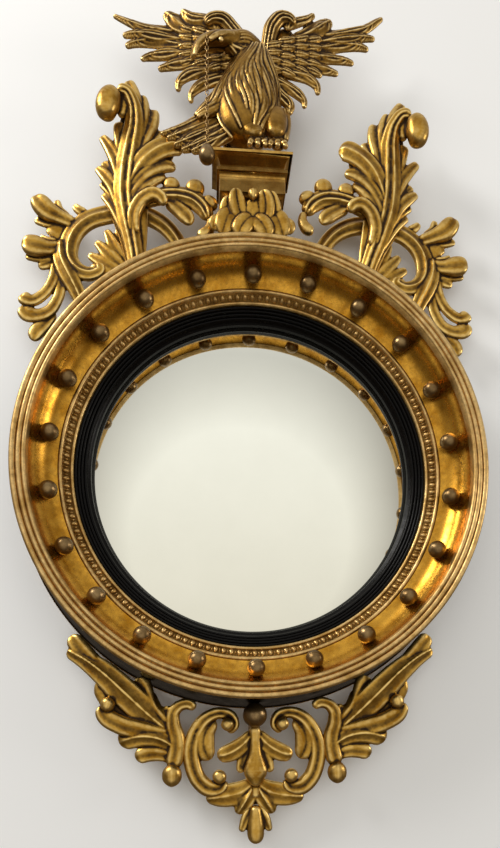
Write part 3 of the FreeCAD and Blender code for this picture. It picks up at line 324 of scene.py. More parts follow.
black = ebony("ebonised")
black_gilt_edge = ebony("ebonised_gilt_edge", gilt_edge=5 * MM)
pine = grained("pine", rgb(0.42, 0.27, 0.13), rgb(0.24, 0.14, 0.06), (1.0, 1.0, 0.06))
beech = grained("beech", rgb(0.50, 0.33, 0.18), rgb(0.36, 0.22, 0.11), (0.3, 1.0, 1.0))
chain_brass = tarnished("chain_brass", rgb(0.55, 0.36, 0.14), rgb(0.16, 0.09, 0.04), 500.0)
plate_brass = tarnished("plate_brass", rgb(0.62, 0.45, 0.20), rgb(0.36, 0.24, 0.10))
old_steel = tarnished("old_steel", rgb(0.42, 0.40, 0.37), rgb(0.20, 0.17, 0.14))
silvered, nodes, shader = plain("silvered_glass", metallic=1.0)
cloudy = noise(nodes, object_place(nodes), 14.0, 5.0, 0.55)
plug(nodes, shader, Base_Color=blend(nodes, cloudy, rgb(0.90, 0.90, 0.81), rgb(0.83, 0.83, 0.74)),
     Roughness=spread(nodes, cloudy, 0.3, 0.7, 0.015, 0.05))
print("plain finishes:", [m.name for m in (black, pine, beech, chain_brass, old_steel, silvered)])

# %% [markdown]
# ## Finishing a mesh
# Each piece is made in millimetres in a bmesh, the mesh editor that scripts use. `finish` turns it
# into an object in metres, keeps creases sharp and rounds shaded smoothly, and hands it to the
# body of the solid model that it moves with.

# %% Helpers that finish a piece
def sharpen(bm, degrees):
    """Marks the edges that are creases, so that smooth shading stops there."""
    for edge in bm.edges:
        if len(edge.link_faces) == 2:
            edge.smooth = edge.calc_face_angle(0.0) < math.radians(degrees)
    for face in bm.faces:
        face.smooth = True


def hand_over(piece, material, nodes, body="root"):
    """Gives a piece its material, its body, and the pieces of the solid model it stands for."""
    piece.data.materials.clear()
    piece.data.materials.append(material)
    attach(piece, body)
    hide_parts(*nodes)
    triangles = sum(len(p.vertices) - 2 for p in piece.data.polygons)
    print("%-26s %7d triangles" % (piece.name, triangles))
    return piece


def to_object(bm, name, crease=35.0):
    """Turns a bmesh in millimetres into an object in metres."""
    bmesh.ops.remove_doubles(bm, verts=bm.verts, dist=0.001)
    bmesh.ops.recalc_face_normals(bm, faces=bm.faces)
    bmesh.ops.scale(bm, vec=(MM, MM, MM), verts=bm.verts)
    sharpen(bm, crease)
    mesh = bpy.data.meshes.new(name)
    bm.to_mesh(mesh)
    bm.free()
    piece = bpy.data.objects.new(name, mesh)
    bpy.context.scene.collection.objects.link(piece)
    return piece


print("finishing helpers ready")

# %% [markdown]
# ## Turned rings
# The round mouldings are turned on a lathe, and Blender's `spin` is a lathe: a section drawn as
# (radius, depth) corners is swept once round the mirror's axis. A full turn is merged, so that the
# ring closes without a seam. Round parts of a section are drawn with `arc`.

# %% Lathe helpers
TURN_STEPS = 240
AXIS = Vector((0.0, 1.0, 0.0))


def arc(radius, depth, curve, start, end, count=8):
    """Corners on a round part, from one angle to another; 0 is outward, 90 is the front."""
    corners = []
    for i in range(count + 1):
        angle = math.radians(start + (end - start) * i / count)
        corners.append((radius + curve * math.cos(angle), depth + curve * math.sin(angle)))
    return corners


def turned_ring(name, section, material, node, crease=35.0):
    bm = bmesh.new()
    corners = [bm.verts.new((radius, -depth, 0.0)) for radius, depth in section]
    edges = [bm.edges.new(pair) for pair in zip(corners, corners[1:] + corners[:1])]
    bmesh.ops.spin(bm, geom=corners + edges, cent=(0, 0, 0), axis=AXIS, angle=math.tau,
                   steps=TURN_STEPS, use_merge=True)
    return hand_over(to_object(bm, name, crease), material, [node])


print("lathe ready")

# %% [markdown]
# ### The carcass, the cove and the reeded rim
# The carcass is the black drum against the wall; it spreads a little towards the wall, where a
# thin gilt edge closes it. The cove is one deep hollow. The rim is three reeds, the outer one the
# fattest, with a sharp groove between each two.

# %% Turn the carcass, cove and rim
turned_ring("back_ring_turned",
            [(242, 0), (317.2, 0), (318, 0.8), (318, 4.2), (317.3, 5), (316.2, 5.4), (300.2, 89.6),
             (299.6, 90), (290, 90), (290, 30), (228, 30), (228, 8), (242, 8)],
            black_gilt_edge, "back_ring")
turned_ring("cavetto_moulding_turned",
            [(256, 30), (289.8, 30), (289.8, 90)] + arc(247, 89, 38, 0, -76.3, 24),
            cove_gilt, "cavetto_moulding")
reeds = [(284, 90), (305, 90), (305, 96)]
for middle, curve in ((301.0, 3.9), (293.4, 3.2), (287.0, 2.5)):
    reeds += arc(middle, 102 - curve, curve, 0, 180, 10)
turned_ring("reeded_rim_turned", reeds + [(284.2, 96)], rim_gilt, "reeded_rim")

# %% [markdown]
# ### The ebonised slip and the carved band's bed
# The slip is a black ring of fine reeds that falls inwards to the glass. Outside it lies the bed of
# the carved band: a gilt bead, a sloping bed for the leaves, and a tall rounded fillet. A thin dark
# ring lies in the bed between the leaves: painted shade for the recess that the leaves shade.

# %% Turn the slip and the band
slip = [(217, 21.4), (227.8, 21.4), (227.8, 30), (237, 30)]
slip += arc(235.2, 39.2, 1.8, 0, 150, 6)
for middle, depth, curve in ((231.4, 37.4, 1.7), (227.8, 34.6, 1.8), (224.0, 31.6, 1.8)):
    slip += arc(middle, depth, curve, 20, 160, 6)
slip += [(221.2, 29.4), (219.4, 28.0), (217.6, 26.6)]
turned_ring("ebonised_slip_turned", slip, black, "ebonised_slip")

BAND_BED = ((241.6, 43.2), (249.4, 47.6))
band = [(237.2, 30), (255.8, 30), (255.8, 50)]
band += arc(253.2, 50.4, 2.6, 0, 180, 10) + [(250.2, 48.6), BAND_BED[1], BAND_BED[0]]
band += arc(239.3, 43.6, 2.0, 0, 180, 8)
turned_ring("carved_band_turned", band, rim_gilt, "carved_band")
# A dark ring of painted shade in the band's bed, under and between the leaves.
turned_ring("carved_band_shade_ring", [(242.0, 41.0), (249.8, 45.4), (249.8, 48.2), (241.4, 43.6)],
            bed_shade_gilt, "carved_band")

# %% [markdown]
# ### The convex glass
# The glass bulges towards the room, so it shows the whole room small. It is turned like the rings,
# from a section that starts on the axis; the doubles there are merged into one point.

# %% Turn the glass
GLASS_CURVE, GLASS_EDGE, GLASS_DEPTH = 780.0, 226.0, 18.0
GLASS_THICKNESS, GLASS_STEPS = 3.0, 32
rise = GLASS_CURVE - math.sqrt(GLASS_CURVE ** 2 - GLASS_EDGE ** 2)
dome = []
for i in range(GLASS_STEPS + 1):
    radius = GLASS_EDGE * i / GLASS_STEPS
    sunk = GLASS_CURVE - math.sqrt(GLASS_CURVE ** 2 - radius ** 2)
    dome.append((radius, GLASS_DEPTH + rise - sunk))
turned_ring("convex_glass_turned", dome + [(r, d - GLASS_THICKNESS) for r, d in reversed(dome)],
            silvered, "convex_glass", crease=60.0)

# %% [markdown]
# ### The carved band's leaves
# Round the band runs a row of small upright leaves with a dart between each two, about ten
# millimetres apart. They repeat a hundred and fifty times, so each is a small ball pulled into a
# leaf: few faces, but a real shape that catches light. One leaf with its darts is made, and
# `spin` with use_duplicate copies it round the ring.

# %% Carve the band's leaves and darts
LEAF_COUNT = 150


def band_motif(bm, angle, half_width, low, high, lift):
    """A small ball stretched over the sloping bed at one place round the ring."""
    (inner, inner_depth), (outer, outer_depth) = BAND_BED
    slope = (outer_depth - inner_depth) / (outer - inner)
    made = bmesh.ops.create_uvsphere(bm, u_segments=8, v_segments=6, radius=1.0)["verts"]
    for vertex in made:
        x, y, z = vertex.co
        radius = (low + high) / 2 + z * (high - low) / 2
        pinch = half_width * (1.0 - 0.35 * z)
        depth = inner_depth + (radius - inner) * slope - y * lift
        vertex.co = (x * pinch, -depth, radius)
    bmesh.ops.rotate(bm, verts=made, cent=(0, 0, 0), matrix=Matrix.Rotation(angle, 3, "Y"))


bm = bmesh.new()
band_motif(bm, 0.0, 3.2, 241.8, 249.6, 4.4)
band_motif(bm, 0.0, 0.9, 241.6, 249.0, 4.6)
band_motif(bm, math.pi / LEAF_COUNT, 1.0, 243.5, 249.8, 3.6)
bmesh.ops.spin(bm, geom=bm.verts[:] + bm.edges[:] + bm.faces[:], cent=(0, 0, 0), axis=AXIS,
               angle=math.tau * (LEAF_COUNT - 1) / LEAF_COUNT, steps=LEAF_COUNT - 1,
               use_duplicate=True)
leaves = to_object(bm, "carved_band_leaves", crease=80.0)
hand_over(leaves, rim_gilt, ["carved_band"])

# %% [markdown]
# ## Carving
# A carver thinks in strokes: a leaf's finger starts on the stem, swells and ends in a rounded tip,
# and a gouge cuts one or more channels down it. The same strokes are used here. Each is a list of
# stations (x, z, half width, forward), and a smooth curve runs through them. A ball is stretched
# along that curve, one ring of the ball for each step, so every finger is closed and rounded at
# both ends. A carving function lowers the front between the edges, as the gouge does.

# %% A smooth run through stations
FRONT = np.array((0.0, -1.0, 0.0))


def run_through(stations, shares):
    """Values on a smooth curve through the stations, at shares from 0 (first) to 1 (last)."""
    knots = np.array(stations, float)
    steps = np.linalg.norm(np.diff(knots[:, (0, 1, 3)], axis=0), axis=1)
    places = np.concatenate(([0.0], np.cumsum(steps)))
    slopes = np.gradient(knots, places, axis=0)
    here = np.asarray(shares) * places[-1]
    first = np.clip(np.searchsorted(places, here, side="right") - 1, 0, len(places) - 2)
    span = (places[first + 1] - places[first])[:, None]
    t = (here[:, None] - places[first][:, None]) / span
    return (knots[first] * (2 * t ** 3 - 3 * t ** 2 + 1)
            + knots[first + 1] * (3 * t ** 2 - 2 * t ** 3)
            + span * (slopes[first] * (t ** 3 - 2 * t ** 2 + t)
                      + slopes[first + 1] * (t ** 3 - t ** 2)))


def frames_along(stations, shares):
    """For each share: the middle, and the directions across the stroke and out of its face."""
    line = run_through(stations, shares)
    middle = np.stack([line[:, 0], -line[:, 3], line[:, 1]], axis=1)
    along = np.gradient(middle, axis=0)
    along /= np.linalg.norm(along, axis=1)[:, None]
    across = np.cross(along[0], FRONT)
    crosswise = []
    for direction in along:
        across = across - direction * (across @ direction)
        across = across / np.linalg.norm(across)
        crosswise.append(across)
    crosswise = np.array(crosswise)
    return line, middle, crosswise, np.cross(crosswise, along)


print("smooth runs ready")

# %% [markdown]
# ### Gouge cuts
# Each function says how far the front is lowered at a place across the stroke (u, from -1 to 1)
# and along it (in millimetres). Channels are the round of a sine with its sharp corners upwards,
# which is what two neighbouring gouge cuts leave. A feather has a raised quill and slanting barbs.

# %% Gouge cuts
def smooth_face(u, along):
    return 0.0 * u


def fluted(count, deep=0.4):
    """Round channels side by side, with sharp ridges between them."""
    def cut(u, along):
        return -deep * np.abs(np.sin(math.pi * count * (u + 1.0) / 2.0))
    return cut


def spooned(deep=0.34):
    """One soft hollow a little off the middle, with a raised rim on each side."""
    def cut(u, along):
        return -deep * np.exp(-((u - 0.18) / 0.5) ** 2)
    return cut


def folded(deep=0.55):
    """A sharp valley down the middle, as where a leaf is folded along its vein."""
    def cut(u, along):
        return -deep * (1.0 - np.abs(u)) ** 1.5
    return cut


def feathered(pitch=3.4, deep=0.36):
    """A quill down the middle and barbs that slant away from it."""
    def cut(u, along):
        barbs = np.abs(np.sin(math.pi * (along / pitch - 1.3 * np.abs(u))))
        quill = np.exp(-(u / 0.14) ** 2)
        return deep * (quill * 0.5 - (1.0 - quill) * barbs)
    return cut


def ringed(pitch=3.0, deep=0.3):
    """Cross cuts, as on a bird's toes."""
    def cut(u, along):
        return -deep * np.abs(np.sin(math.pi * along / pitch))
    return cut


print("gouge cuts ready")

# %% Stretch a ball along a stroke
END_PACKING = 0.6           # how closely the rings crowd towards both ends
RING_STEP, FEWEST, MOST = 4, 3, 24
THIN_SHARE, WIDE_SHARE = 0.45, 0.55     # thickness that stays, and that goes with the width
SQUARENESS = 2.6            # 2 is a round section, more is a fuller one
BALLS = {}


def ball_mould(around, rings):
    """A unit ball kept as a mesh, with its points and the ring that each point lies on."""
    if (around, rings) not in BALLS:
        bm = bmesh.new()
        bmesh.ops.create_uvsphere(bm, u_segments=around, v_segments=rings, radius=1.0)
        mesh = bpy.data.meshes.new("ball_mould")
        bm.to_mesh(mesh)
        bm.free()
        unit = np.array([vertex.co for vertex in mesh.vertices])
        ring = np.rint(np.arccos(np.clip(unit[:, 2], -1.0, 1.0)) / math.pi * rings).astype(int)
        BALLS[around, rings] = mesh, unit, ring
    return BALLS[around, rings]


def thickness_along(half_depth, widths, widest):
    return half_depth * np.minimum(1.0, THIN_SHARE + WIDE_SHARE * widths / widest)


def stroke(bm, half_depth, stations, cut=smooth_face, around=32, step=2.4, back=0.8):
    """One carved finger: the kept ball takes its shape and is copied in. Returns its vertices."""
    knots = np.array(stations, float)
    length = np.linalg.norm(np.diff(knots[:, (0, 1, 3)], axis=0), axis=1).sum()
    rings = RING_STEP * int(np.clip(round(length / step / RING_STEP), FEWEST, MOST))
    mesh, unit, ring = ball_mould(around, rings)
    even = np.arange(rings + 1) / rings
    shares = even - END_PACKING * np.sin(math.tau * even) / math.tau
    line, middle, across, out = frames_along(stations, shares)
    widths = np.maximum(line[:, 2], 0.3)
    to_foot = shares * length / max(knots[0, 2], 1.0)
    to_tip = (1.0 - shares) * length / max(knots[-1, 2], 1.0)
    rounding = np.sqrt(np.clip(1.0 - (1.0 - np.clip(np.minimum(to_foot, to_tip), 0, 1)) ** 2, 0, 1))
    thickness = thickness_along(half_depth, widths, knots[:, 2].max())
    angle = np.arctan2(unit[:, 1], unit[:, 0])
    u = np.cos(angle)
    body = np.sqrt(np.clip(1.0 - np.abs(u) ** SQUARENESS, 0.0, 1.0))
    lowered = 1.0 + cut(u, (shares * length)[ring])
    rise = np.where(np.sin(angle) >= 0.0, body * lowered, -back * body)
    wide = (widths * rounding)[ring] * u
    tall = (thickness * rounding)[ring] * rise
    placed = middle[ring] + across[ring] * wide[:, None] + out[ring] * tall[:, None]
    mesh.vertices.foreach_set("co", placed.ravel())
    before = len(bm.verts)
    bm.from_mesh(mesh)
    bm.verts.ensure_lookup_table()
    return bm.verts[before:]


print("strokes ready")

# %% [markdown]
# ### Fusing the strokes
# The fingers of a leaf overlap where they leave the stem. A voxel remesh melts them into one skin,
# with a grid about one millimetre wide, and a light smoothing takes the steps out of it. After
# that, each vertex is compared with a much smoothed copy of the mesh. Where the copy lies above
# the surface there is a hollow, and where it lies below there is a ridge. That is stored on the
# mesh as `hollow`, from -1 to 1, for the gilding to read.

# %% Fuse and measure
HOLLOW_ROUNDS = (4, 26)
HOLLOW_SCALES = (0.16 * MM, 0.9 * MM)


def smoothed(points, first, second, count, rounds):
    """Each point moves halfway to the middle of its neighbours, again and again."""
    soft = points.copy()
    for _ in range(rounds):
        total = np.stack([np.bincount(first, soft[second, axis], len(points))
                          + np.bincount(second, soft[first, axis], len(points))
                          for axis in range(3)], axis=1)
        soft = 0.5 * soft + 0.5 * total / count[:, None]
    return soft


def store_hollows(mesh):
    total = len(mesh.vertices)
    points = np.empty(total * 3, np.float32)
    mesh.vertices.foreach_get("co", points)
    points = points.reshape(-1, 3).astype(float)
    normals = np.empty(total * 3, np.float32)
    mesh.vertices.foreach_get("normal", normals)
    normals = normals.reshape(-1, 3)
    edges = np.empty(len(mesh.edges) * 2, np.int32)
    mesh.edges.foreach_get("vertices", edges)
    first, second = edges[0::2], edges[1::2]
    count = np.maximum(np.bincount(edges, minlength=total), 1)
    value = np.zeros(total)
    for rounds, scale in zip(HOLLOW_ROUNDS, HOLLOW_SCALES):
        soft = smoothed(points, first, second, count, rounds)
        value += 0.5 * np.clip(((soft - points) * normals).sum(axis=1) / scale, -1.5, 1.5)
    attribute = mesh.attributes.new("hollow", "FLOAT", "POINT")
    attribute.data.foreach_set("value", np.clip(value, -1, 1).astype(np.float32))


def fuse(bm, name, voxel=1.2, settle=2):
    """Melts overlapping strokes into one skin and measures its hollows."""
    piece = to_object(bm, name)
    melt = piece.modifiers.new("melt", "REMESH")
    melt.mode = "VOXEL"
    melt.voxel_size = voxel * MM
    melt.use_smooth_shade = True
    relax = piece.modifiers.new("relax", "SMOOTH")
    relax.factor = 0.5
    relax.iterations = settle
    settled = piece.evaluated_get(bpy.context.evaluated_depsgraph_get())
    fused = bpy.data.meshes.new_from_object(settled)
    piece.modifiers.clear()
    rough = piece.data
    piece.data = fused
    bpy.data.meshes.remove(rough)
    fused.name = name
    store_hollows(fused)
    return piece


print("fusing ready")

# %% [markdown]
# ### Placing a carving
# A carving is drawn once, for the right side, measured from its foot on the ring. The left one is
# its mirror image. Real ones are never quite alike: both upright leaves lean a little to the
# right. The strokes are drawn as the camera shows them. A tip that stands nearer to the camera
# looks higher and further out than it is, so `as_seen` moves each station back down its sight line.

# %% Build one carved piece
RING = 318.0


def ring_foot(degrees):
    """The (x, z) of a place on the ring's edge; 0 degrees is the top."""
    turn = math.radians(degrees)
    return RING * math.sin(turn), RING * math.cos(turn)


VIEW_DISTANCE, VIEW_HEIGHT = -CAMERA_PLACE[1], CAMERA_PLACE[2]
WIDE_STROKE, MANY_AROUND, FEW_AROUND = 8.5, 56, 32


def as_seen(stations, foot, depth):
    """The true places of stations that were drawn as the camera shows them."""
    placed = []
    for x, z, width, forward in stations:
        nearer = (VIEW_DISTANCE - depth - forward) / (VIEW_DISTANCE - depth)
        placed.append(((foot[0] + x) * nearer,
                       VIEW_HEIGHT + (foot[1] + z - VIEW_HEIGHT) * nearer,
                       width * nearer, depth + forward))
    return placed


def both_ways(half_depth, cut, stations):
    """A stroke and its mirror image."""
    mirrored = tuple((-x, z, width, forward) for x, z, width, forward in stations)
    return (half_depth, cut, stations), (half_depth, cut, mirrored)


def carved(node, strokes, foot, depth, material=carved_gilt, mirrored=False, lean=0.0,
           fuller=1.0, voxel=1.2, settle=2, extra=None):
    """Builds, mirrors, leans, fuses and finishes the carving that stands for one node."""
    bm = bmesh.new()
    for half_depth, cut, stations in strokes:
        widest = max(width for x, z, width, forward in stations)
        around = MANY_AROUND if widest > WIDE_STROKE else FEW_AROUND
        placed = [(x, z, width * fuller, depth_here)
                  for x, z, width, depth_here in as_seen(stations, foot, depth)]
        stroke(bm, half_depth, placed, cut, around)
    if extra:
        extra(bm)
    if mirrored:
        bmesh.ops.scale(bm, vec=(-1, 1, 1), verts=bm.verts)
    if lean:
        centre = (-foot[0] if mirrored else foot[0], 0.0, foot[1])
        bmesh.ops.rotate(bm, verts=bm.verts, cent=centre,
                         matrix=Matrix.Rotation(math.radians(lean), 3, "Y"))
    return hand_over(fuse(bm, node + "_carved", voxel, settle), material, [node])


def carved_both(node, *drawn, **settings):
    for side in ("left", "right"):
        carved("%s_%s" % (node, side), *drawn, mirrored=side == "left", **settings)


print("carving bench ready")

# %% [markdown]
# ## The crest's upright leaves
# Each is a tall acanthus leaf. Its stem is a bundle of ridges that rises from the ring, bends over
# at the top and ends in a heavy curled tip. Fingers leave it on both sides, and low on the inner
# side a branch with three round buds reaches towards the pedestal.

# %% Carve the upright leaves
LEAF_ANGLE, LEAF_DEPTH, LEAF_LEAN = 30.0, 45.0, 5.0
LEAF = (
    (6, smooth_face, ((0, 0, 9, -5), (8, 50, 16, -5), (18, 90, 22, -5), (25, 130, 24, -4),
        (25, 170, 22, -2), (22, 215, 19, 0), (24, 250, 12, 2))),
    (5, smooth_face, ((20, 118, 14, -1), (4, 150, 18, 1), (-14, 174, 14, 2), (-34, 182, 8, 1))),
    (9, fluted(3, 0.26), ((-4, -10, 9, -4), (5, 30, 10, -2), (16, 70, 12, 1), (25, 110, 14, 3),
        (27, 150, 14, 4), (25, 190, 13, 6), (24, 225, 11, 9), (29, 250, 9, 13), (40, 267, 8, 17),
        (53, 269, 7, 19))),
    (14, smooth_face, ((50, 262, 8, 16), (60, 254, 13, 20), (63, 236, 13, 20), (58, 219, 8, 16))),
    (7, smooth_face, ((42, 262, 6, 10), (41, 242, 7, 10), (42, 226, 5, 8))),
    (6, spooned(), ((22, 190, 8, 4), (23, 232, 9, 6), (30, 264, 9, 6), (38, 284, 6, 3))),
    (6, spooned(), ((21, 170, 8, 4), (14, 215, 8, 5), (14, 246, 8, 4), (18, 264, 6, 1))),
    (6, spooned(), ((20, 150, 8, 4), (8, 195, 8, 5), (-1, 226, 8, 3), (-2, 245, 6, 0))),
    (5, spooned(), ((20, 135, 8, 4), (6, 180, 7, 4), (-7, 202, 7, 2), (-17, 213, 5, 0))),
    (7, fluted(2, 0.35), ((24, 105, 8, 4), (16, 143, 10, 6), (0, 174, 12, 9), (-24, 193, 13, 8),
        (-42, 198, 13, 5), (-51, 196, 9, 2))),
    (6, spooned(), ((22, 92, 8, 4), (12, 128, 8, 6), (-6, 152, 8, 7), (-26, 163, 8, 4),
        (-40, 163, 6, 1))),
    (6, spooned(), ((20, 80, 7, 3), (12, 110, 8, 6), (-2, 132, 8, 7), (-16, 143, 7, 5),
        (-28, 146, 5, 2))),
    (7, spooned(0.3), ((8, 56, 7, 2), (10, 90, 8, 6), (0, 111, 8, 9), (-12, 119, 8, 11),
        (-24, 115, 7, 12), (-29, 104, 5, 10))),
    (6, spooned(), ((28, 140, 9, 2), (34, 178, 10, 4), (40, 203, 9, 4), (46, 219, 6, 3))),
    (6, spooned(), ((27, 115, 8, 3), (38, 153, 9, 4), (52, 178, 8, 2), (66, 194, 5, -1))),
    (5, spooned(), ((28, 130, 8, 3), (36, 163, 8, 3), (44, 184, 5, 0))),
    (5, spooned(), ((26, 98, 8, 2), (42, 137, 7, 2), (60, 156, 5, -2))),
    (5, spooned(), ((24, 80, 8, 2), (42, 121, 8, 3), (58, 139, 7, 1), (68, 146, 4, -2))),
    (5, spooned(), ((20, 66, 7, 1), (40, 107, 6, 1), (60, 124, 4, -3))),
    (5, spooned(), ((16, 52, 7, 0), (38, 91, 7, 0), (56, 108, 4, -3))),
    (9, fluted(3, 0.3), ((2, 104, 8, -2), (-24, 117, 10, 0), (-48, 121, 11, 1), (-68, 118, 11, 2),
        (-84, 106, 10, 3), (-91, 92, 7, 4))),
    (7, smooth_face, ((-94, 94, 4, 2), (-94, 79, 6, 3), (-86, 69, 7, 4), (-77, 68, 5, 4))),
    (8, smooth_face, ((-36, 122, 8, 0), (-36, 137, 10, 1), (-36, 147, 7, 1))),
    (8, smooth_face, ((-66, 120, 8, 0), (-69, 138, 11, 1), (-70, 149, 7, 1))),
    (8, smooth_face, ((-84, 108, 7, 1), (-92, 118, 10, 2), (-97, 125, 7, 2))),
    (6, spooned(), ((-32, 112, 8, 0), (-50, 100, 9, 2), (-62, 90, 9, 3), (-67, 80, 5, 3))),
)
carved_both("crest_spray", LEAF, ring_foot(LEAF_ANGLE), LEAF_DEPTH, lean=LEAF_LEAN, fuller=1.2)

# %% [markdown]
# ## The crest's side scrolls and fans
# Behind each upright leaf a big scroll springs from the ring, turns over and curls in. It is gouged
# along its length, and its outer side bursts into buds and small leaves. A fan of five leaves
# fills the corner between leaf and ring.

# %% Carve the side scrolls and fans
SCROLL_ANGLE, FAN_ANGLE, SCROLL_DEPTH = 45.0, 36.0, 25.0
SCROLL = (
    (5, smooth_face, ((26, 118, 16, -2), (46, 123, 14, 0), (58, 128, 8, 1))),
    (5, smooth_face, ((34, 88, 16, -2), (54, 88, 12, 0), (66, 90, 7, 1))),
    (9, fluted(2, 0.35), ((-132, 90, 9, 0), (-119, 117, 10, 0), (-100, 138, 11, 0),
        (-75, 150, 12, 0), (-48, 152, 12, 0), (-20, 147, 12, 0), (2, 138, 12, 0), (20, 120, 12, 0),
        (28, 98, 12, 0), (26, 76, 11, 1), (14, 62, 10, 2), (-4, 59, 9, 3), (-14, 66, 8, 4),
        (-10, 74, 5, 4))),
    (9, fluted(2, 0.35), ((40, 106, 8, 1), (38, 80, 11, 3), (28, 56, 12, 3), (18, 36, 10, 2),
        (8, 14, 9, 0))),
    (9, spooned(0.3), ((20, 131, 8, 0), (44, 141, 10, 4), (60, 150, 13, 8), (70, 162, 12, 9),
        (75, 171, 8, 8))),
    (5, spooned(), ((28, 140, 5, 0), (42, 150, 6, 2), (46, 166, 4, 1))),
    (5, spooned(), ((4, 147, 6, 0), (16, 153, 6, 1), (23, 160, 4, 0))),
    (5, spooned(), ((42, 130, 6, 0), (60, 131, 6, 2), (76, 134, 4, 1))),
    (5, spooned(), ((34, 118, 6, 0), (48, 118, 6, 0), (60, 120, 4, 0))),
    (9, spooned(0.3), ((36, 96, 8, 0), (56, 93, 10, 4), (74, 96, 14, 8), (86, 98, 12, 9),
        (93, 98, 7, 8))),
    (5, spooned(), ((44, 102, 6, 0), (58, 105, 5, 1), (68, 111, 3, 0))),
    (5, spooned(), ((46, 84, 7, 0), (66, 80, 7, 2), (87, 80, 4, 1))),
    (5, spooned(), ((44, 78, 7, 0), (58, 70, 7, 0), (69, 65, 4, 0))),
    (6, spooned(0.3), ((44, 74, 7, 0), (50, 44, 7, 2), (62, 25, 7, 4), (78, 16, 8, 6),
        (88, 20, 9, 7), (92, 23, 6, 6))),
    (6, spooned(0.3), ((36, 52, 7, 0), (42, 20, 7, 2), (54, 1, 8, 4), (70, -5, 9, 5),
        (83, -2, 11, 6), (87, 9, 7, 6))),
    (6, spooned(0.3), ((46, 0, 6, 0), (58, -18, 8, 2), (69, -29, 10, 4), (74, -42, 6, 4))),
)
FAN = (
    (4, smooth_face, ((-24, 10, 12, -3), (-6, 42, 24, -2), (6, 62, 18, -1))),
    (5, spooned(), ((-24, 28, 6, 0), (-9, 68, 8, 3), (0, 97, 4, 1))),
    (5, spooned(), ((-22, 26, 6, 0), (1, 64, 9, 4), (16, 93, 4, 1))),
    (5, spooned(), ((-20, 24, 6, 0), (8, 53, 9, 4), (30, 75, 4, 1))),
    (5, spooned(), ((-18, 20, 6, 0), (12, 40, 9, 3), (40, 55, 4, 0))),
    (5, spooned(), ((-14, 14, 6, 0), (12, 26, 8, 2), (37, 37, 4, 0))),
)
for side in ("left", "right"):
    carved("crest_scroll_" + side, SCROLL, ring_foot(SCROLL_ANGLE), SCROLL_DEPTH,
           mirrored=side == "left", fuller=1.12)
    carved("crest_fan_" + side, FAN, ring_foot(FAN_ANGLE), SCROLL_DEPTH, mirrored=side == "left",
           fuller=1.25)

# %% [markdown]
# ## The apron
# A leaf spray leaves the ring low on each side and meets the middle drop. Each has a long leaf
# that runs up beside the ring, shorter fingers, and a hooked stem with a ball at its foot. A pair
# of C-scrolls holds the middle stem between them; under them hang two pairs of leaves and a bud.

# %% Carve the apron's sprays
APRON_DEPTH, SPRAY_ANGLE = 30.0, 150.0
SPRAY = (
    (5, smooth_face, ((-56, -98, 12, -3), (-38, -74, 22, -2), (-10, -52, 22, -1), (20, -28, 18, -1),
        (44, -2, 11, -2))),
    (8, spooned(0.25), ((-51, -118, 9, 4), (-56, -100, 9, 2), (-57, -80, 9, 1), (-52, -60, 8, 1),
        (-53, -46, 7, 1), (-62, -37, 6, 1), (-74, -36, 6, 1), (-80, -43, 5, 1))),
    (11, smooth_face, ((-38, -127, 12, 5), (-51, -127, 12, 6), (-64, -127, 12, 5))),
    (7, fluted(2, 0.42), ((-46, -70, 9, 1), (-18, -46, 14, 4), (10, -20, 15, 6), (38, 6, 13, 5),
        (62, 24, 10, 1), (84, 36, 7, -3))),
    (6, spooned(), ((14, -18, 9, 3), (42, 11, 9, 2), (66, 36, 10, -1), (80, 55, 8, -4))),
    (6, spooned(), ((-47, -66, 7, 1), (-22, -36, 8, 3), (-12, -10, 10, 1), (-9, 1, 8, 0))),
    (5, spooned(), ((-48, -64, 6, 1), (-32, -42, 6, 1), (-24, -20, 4, -1))),
    (5, spooned(), ((-50, -64, 5, 1), (-46, -48, 5, 1), (-43, -37, 4, 0))),
    (7, spooned(0.3), ((-48, -76, 8, 1), (-14, -69, 10, 5), (16, -61, 10, 7), (36, -48, 9, 8),
        (42, -36, 6, 8))),
    (9, smooth_face, ((23, -37, 8, 8), (32, -35, 8, 10), (41, -33, 8, 8))),
    (7, fluted(2, 0.35), ((-56, -92, 7, 1), (-36, -80, 9, 4), (-12, -76, 11, 5), (8, -80, 11, 3),
        (17, -84, 9, 1))),
    (5, spooned(), ((-56, -108, 6, 0), (-42, -101, 7, 2), (-24, -99, 8, 3), (-9, -102, 8, 3),
        (-4, -104, 7, 2))),
)
carved_both("apron_spray", SPRAY, ring_foot(SPRAY_ANGLE), APRON_DEPTH, fuller=1.25)

